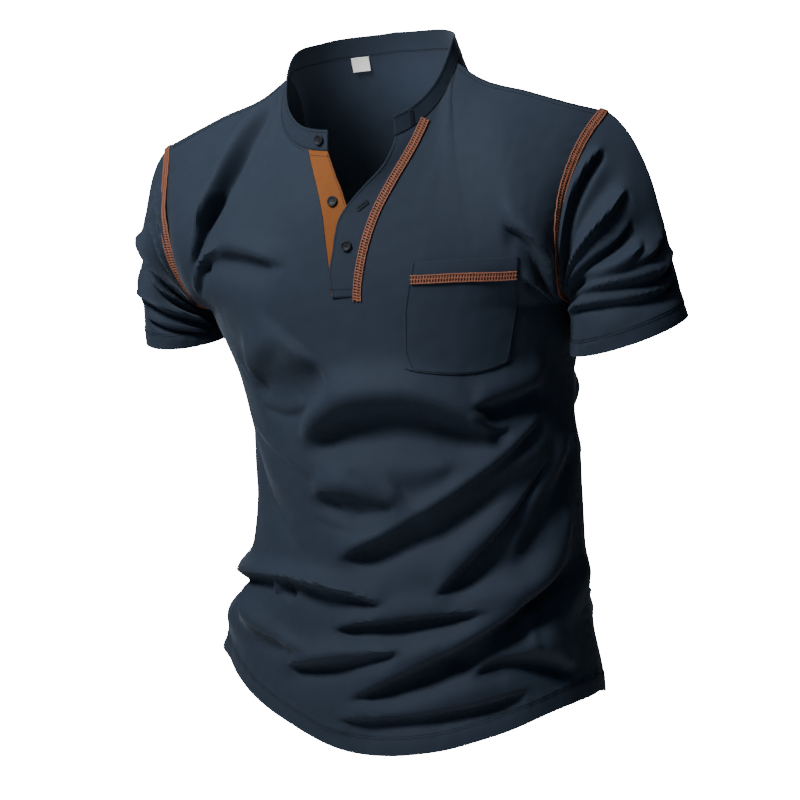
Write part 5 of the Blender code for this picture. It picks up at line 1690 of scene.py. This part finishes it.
# ---------------------------------------------------------------- stage
def lay_floor(height):
    """The pale floor."""
    paint = bpy.data.materials.new("pale floor")
    paint.use_nodes = True
    shader = paint.node_tree.nodes["Principled BSDF"]
    shader.inputs["Base Color"].default_value = FLOOR_COLOUR
    shader.inputs["Roughness"].default_value = FLOOR_ROUGHNESS
    corners = [(x * FLOOR_REACH, y * FLOOR_REACH, height)
               for x, y in ((-1.0, -1.0), (1.0, -1.0), (1.0, 1.0), (-1.0, 1.0))]
    linked("floor", mesh_of("floor", corners, [(0, 1, 2, 3)], paint))


def studio_light(name, azimuth, elevation, distance, size, colour, power):
    """A round soft light that points at the shirt."""
    lamp = bpy.data.lights.new(name, "AREA")
    lamp.shape, lamp.size, lamp.energy, lamp.color = "DISK", size, power, colour
    light = linked(name, lamp)
    away = outward_from(azimuth, elevation)
    light.location = Vector(LOOK_AT) + away * distance
    light.rotation_euler = away.to_track_quat("Z", "Y").to_euler()


def neck_light(power):
    """A weak light inside the collar, which the camera doesn't see."""
    lamp = bpy.data.lights.new("neck light", "POINT")
    lamp.energy, lamp.shadow_soft_size = power, NECK_LIGHT_RADIUS
    light = linked("neck light", lamp)
    light.location, light.visible_camera = NECK_LIGHT_AT, False


def pale_room(strength, backdrop):
    """Even light all round, and a white backdrop where the camera looks past the shirt."""
    world = bpy.data.worlds.new("pale room")
    world.use_nodes = True
    nodes = Nodes(world.node_tree)
    seen = nodes.add("ShaderNodeLightPath")
    nodes.fill(world.node_tree.nodes["Background"], {
        "Color": blended(nodes, seen, ROOM_COLOUR, (1.0, 1.0, 1.0)),
        "Strength": seen * (backdrop - strength) + strength})
    return world


def camera_at(azimuth, elevation, roll):
    """The camera at the photograph's viewing angle (degrees)."""
    outward, roll = outward_from(azimuth, elevation), math.radians(roll)
    right = Vector((-outward.y, outward.x, 0.0)).normalized()
    upward = outward.cross(right)
    tilted_right = right * math.cos(roll) - upward * math.sin(roll)
    tilted_up = right * math.sin(roll) + upward * math.cos(roll)
    lens = bpy.data.cameras.new("camera")
    lens.lens, lens.sensor_width = CAMERA_LENS, 36.0
    camera = linked("camera", lens)
    turn = Matrix((tilted_right, tilted_up, outward)).transposed().to_4x4()
    camera.matrix_world = Matrix.Translation(Vector(LOOK_AT) + outward * CAMERA_DISTANCE) @ turn
    return camera


# ---------------------------------------------------------------- operators
class SHIRT_OT_body(bpy.types.Operator):
    """Front and back panels with their folds, hems and seam puckers"""

    bl_idname = "shirt.body"
    bl_label = "Body"

    def execute(self, context):
        cloth, jersey = cut_cloth(), finishes()["jersey"]
        grid, normal = cloth["front"]
        keep = np.ones((grid.shape[0] - 1, grid.shape[1] - 1), bool)
        keep[(BODY_ROWS + 1) * FINER:, KNOTS[2]:KNOTS[3]] = False
        front = cloth_piece("front", grid, normal, jersey, keep)
        back = cloth_piece("back", *cloth["back"], jersey)
        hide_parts("front_panel")
        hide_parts("back_panel")
        return {"FINISHED"}


class SHIRT_OT_sleeves(bpy.types.Operator):
    """Both short sleeves, drawn into folds at the underarm"""

    bl_idname = "shirt.sleeves"
    bl_label = "Sleeves"

    def execute(self, context):
        cloth, jersey = cut_cloth(), finishes()["jersey"]
        for side, width, area in (("left", 0.430, 0.072), ("right", 0.400, 0.062)):
            piece = cloth_piece(side + "_sleeve", *cloth[side], jersey, closed=True)
            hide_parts("sleeve_" + side)
        return {"FINISHED"}


class SHIRT_OT_collar(bpy.types.Operator):
    """The standing collar band with its tab end"""

    bl_idname = "shirt.collar"
    bl_label = "Collar"

    def execute(self, context):
        piece = cloth_piece("collar", *cut_cloth()["collar"], finishes()["jersey"])
        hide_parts("collar_band")
        return {"FINISHED"}


class SHIRT_OT_placket(bpy.types.Operator):
    """Both laps of the placket"""

    bl_idname = "shirt.placket"
    bl_label = "Placket"

    def execute(self, context):
        cloth, finish = cut_cloth(), finishes()
        outer = cloth_piece("outer_lap", *cloth["overlap"], finish["jersey"])
        under = cloth_piece("under_lap", *cloth["underlap"], finish["facing"])
        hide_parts("placket_overlap")
        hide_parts("placket_underlap")
        return {"FINISHED"}


class SHIRT_OT_pocket(bpy.types.Operator):
    """The chest pocket, its mouth standing a little open"""

    bl_idname = "shirt.pocket"
    bl_label = "Pocket"

    def execute(self, context):
        piece = cloth_piece("chest_pocket", *cut_cloth()["pocket"], finishes()["jersey"],
                            wall=POCKET_WALL)
        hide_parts("pocket")
        return {"FINISHED"}


class SHIRT_OT_label(bpy.types.Operator):
    """The bare label inside the back neck, with its corner stitches"""

    bl_idname = "shirt.label"
    bl_label = "Label"

    def execute(self, context):
        finish = finishes()
        piece = cloth_piece("bare_label", *cut_cloth()["label"], finish["label"],
                            wall=LABEL_THICKNESS)
        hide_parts("neck_label")
        row = LABEL_CELLS - 1.6
        tracks = [lying_on("label", np.full(3, row), np.array(span), False, LABEL_THICKNESS)
                  for span in ((0.5, 1.2, 1.9), (LABEL_CELLS - 2.9, LABEL_CELLS - 2.2,
                                                 LABEL_CELLS - 1.5))]
        sewing = sewn("label_stitches", tracks, running_tree(), finish["white"], **LABEL_THREAD)
        return {"FINISHED"}


class SHIRT_OT_buttons(bpy.types.Operator):
    """The buttons, each drilled and sewn on"""

    bl_idname = "shirt.buttons"
    bl_label = "Buttons"

    def execute(self, context):
        finish = finishes()
        columns = cut_cloth()["collar"][0].shape[1] - 1
        tab = (TAB_PLACE[0], columns / FINER - (TAB_PLACE[1] - 1.0))   # near the other end
        for word, piece, place in (("collar", "collar", tab),
                                   ("middle", "underlap", MIDDLE_PLACE),
                                   ("lower", "overlap", LOWER_PLACE)):
            turn = button_frame(piece, place)
            mesh = button_mesh(word + "_button", finish["button"])
            sewing = button_thread_mesh(word + "_button_thread", finish["navy"])
            for made in (mesh, sewing):
                made.transform(turn)
            body = settled(word + "_button", mesh)
            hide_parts("button_" + word)
            settled(word + "_button_thread", sewing)
        return {"FINISHED"}


class SHIRT_OT_seam_bands(bpy.types.Operator):
    """Rust covering stitches round the armholes, along the placket and across the pocket"""

    bl_idname = "shirt.seam_bands"
    bl_label = "Seam bands"

    def execute(self, context):
        base, half = BODY_ROWS * FINER, shirt_settings().band_width / 2.0
        rising = inset_track("front", half, "end", (base, None))
        falling = backwards(inset_track("back", half, "start", (base, None)))
        band("left_armhole_band", [joined(rising, falling)])
        rising = inset_track("front", 0.0, "start", (base, None))
        falling = backwards(inset_track("back", 0.0, "end", (base, None)))
        band("right_armhole_band", [over_seam(joined(rising, falling), "right", half)])
        rows = np.arange((BODY_ROWS + 1) * FINER - 1, cut_cloth()["front"][0].shape[0] - 1)
        band("placket_band", [lying_on("front", rows, np.full(len(rows), KNOTS[3] + BAND_SHARE))])
        rows, columns = inset("pocket", POCKET_BAND_DROP, "high")
        band("pocket_band", [lying_on("pocket", rows[1:-1], columns[1:-1])])
        return {"FINISHED"}


class SHIRT_OT_topstitching(bpy.types.Operator):
    """Tone-on-tone stitches of the hems, cuffs, shoulders, collar, placket and pocket"""

    bl_idname = "shirt.topstitching"
    bl_label = "Topstitching"

    def execute(self, context):
        for piece in ("front", "back"):
            topstitch(piece + "_hem_stitches", [inset_track(piece, HEM_DEPTH - back, "low")
                                                for back in TWIN_ROWS])
        for side, edge in (("left", "low"), ("right", "high")):
            topstitch(side + "_cuff_stitches", [ring(inset_track(side, CUFF_DEPTH - back, edge))
                                                for back in TWIN_ROWS])
        last = cut_cloth()["front"][0].shape[1] - 1
        topstitch("shoulder_stitches", [inset_track("front", d, "high", span)
                                        for d in SHOULDER_INSETS
                                        for span in ((2, KNOTS[1] - 1), (KNOTS[5] + 1, last - 1))])
        topstitch("collar_stitches", [inset_track("collar", d, "low") for d in COLLAR_INSETS])
        topstitch("neck_stitches", [inset_track(piece, NECK_INSET, "high", span) for piece, span in (
            ("front", (KNOTS[3] + 10, KNOTS[5])), ("front", (KNOTS[1], KNOTS[2] - 1)),
            ("back", BACK_NECK))])
        inside = (BACK_NECK[0] + 2, BACK_NECK[1] - 2)
        topstitch("neck_inside_stitches",
                  [inset_track("back", NECK_INSIDE_INSET, "high", inside, False)])
        laps = [inset_track("overlap", OUTER_LAP_INSET, "start", (2, None))]
        laps += [inset_track("overlap", d, "low") for d in OUTER_LAP_FOOT]
        topstitch("outer_lap_stitches", laps)
        topstitch("under_lap_stitches", [inset_track("underlap", UNDER_LAP_TOP, "high"),
                                         inset_track("underlap", UNDER_LAP_INSET, "end", (2, -2))])
        down = backwards(inset_track("pocket", POCKET_INSET, "start", (6, None)))
        along = inset_track("pocket", POCKET_INSET, "low", (2, -2))
        rise = inset_track("pocket", POCKET_INSET, "end", (6, None))
        topstitch("pocket_stitches", [joined(down, along, rise)])
        return {"FINISHED"}


class SHIRT_OT_buttonholes(bpy.types.Operator):
    """The worked buttonholes of the collar and the outer lap"""

    bl_idname = "shirt.buttonholes"
    bl_label = "Buttonholes"

    def execute(self, context):
        for name, piece, place, slant, length in BUTTONHOLES:
            buttonhole(name, piece, place, slant, length)
        return {"FINISHED"}


class SHIRT_OT_stage(bpy.types.Operator):
    """Pale floor, soft studio light and the camera"""

    bl_idname = "shirt.stage"
    bl_label = "Stage"

    def execute(self, context):
        sizes = stage_settings()
        lay_floor(sizes.floor_height)
        powers = (sizes.key_power, sizes.front_power, sizes.top_power, sizes.back_power)
        for row, power in zip(LIGHTS, powers):
            studio_light(*row, power)
        neck_light(sizes.neck_power)
        context.scene.world = pale_room(sizes.room_light, sizes.backdrop)
        context.scene.camera = camera_at(*CAMERA_ANGLES)
        return {"FINISHED"}


STEPS = (SHIRT_OT_body, SHIRT_OT_sleeves, SHIRT_OT_collar, SHIRT_OT_placket, SHIRT_OT_pocket,
         SHIRT_OT_label, SHIRT_OT_buttons, SHIRT_OT_seam_bands, SHIRT_OT_topstitching,
         SHIRT_OT_buttonholes, SHIRT_OT_stage)


class SHIRT_PT_panel(bpy.types.Panel):
    """Lists the shirt's steps and settings"""

    bl_idname = "SHIRT_PT_panel"
    bl_label = "Band-collar shirt"
    bl_space_type = "VIEW_3D"
    bl_region_type = "UI"
    bl_category = "Shirt"

    def draw(self, context):
        for step in STEPS:
            self.layout.operator(step.bl_idname)
        for group in (shirt_settings(), stage_settings()):
            box = self.layout.box()
            for name in group.__annotations__:
                box.prop(group, name)


CLASSES = (ShirtSettings, StageSettings) + STEPS + (SHIRT_PT_panel,)


def register():
    for made in CLASSES:
        bpy.utils.register_class(made)
    bpy.types.Scene.band_collar_shirt = PointerProperty(type=ShirtSettings)
    bpy.types.Scene.band_collar_stage = PointerProperty(type=StageSettings)


def unregister():
    del bpy.types.Scene.band_collar_stage
    del bpy.types.Scene.band_collar_shirt
    for made in reversed(CLASSES):
        bpy.utils.unregister_class(made)


def main():
    register()
    for step in STEPS:
        group, name = step.bl_idname.split(".")
        getattr(getattr(bpy.ops, group), name)()


if __name__ == "__main__":
    main()
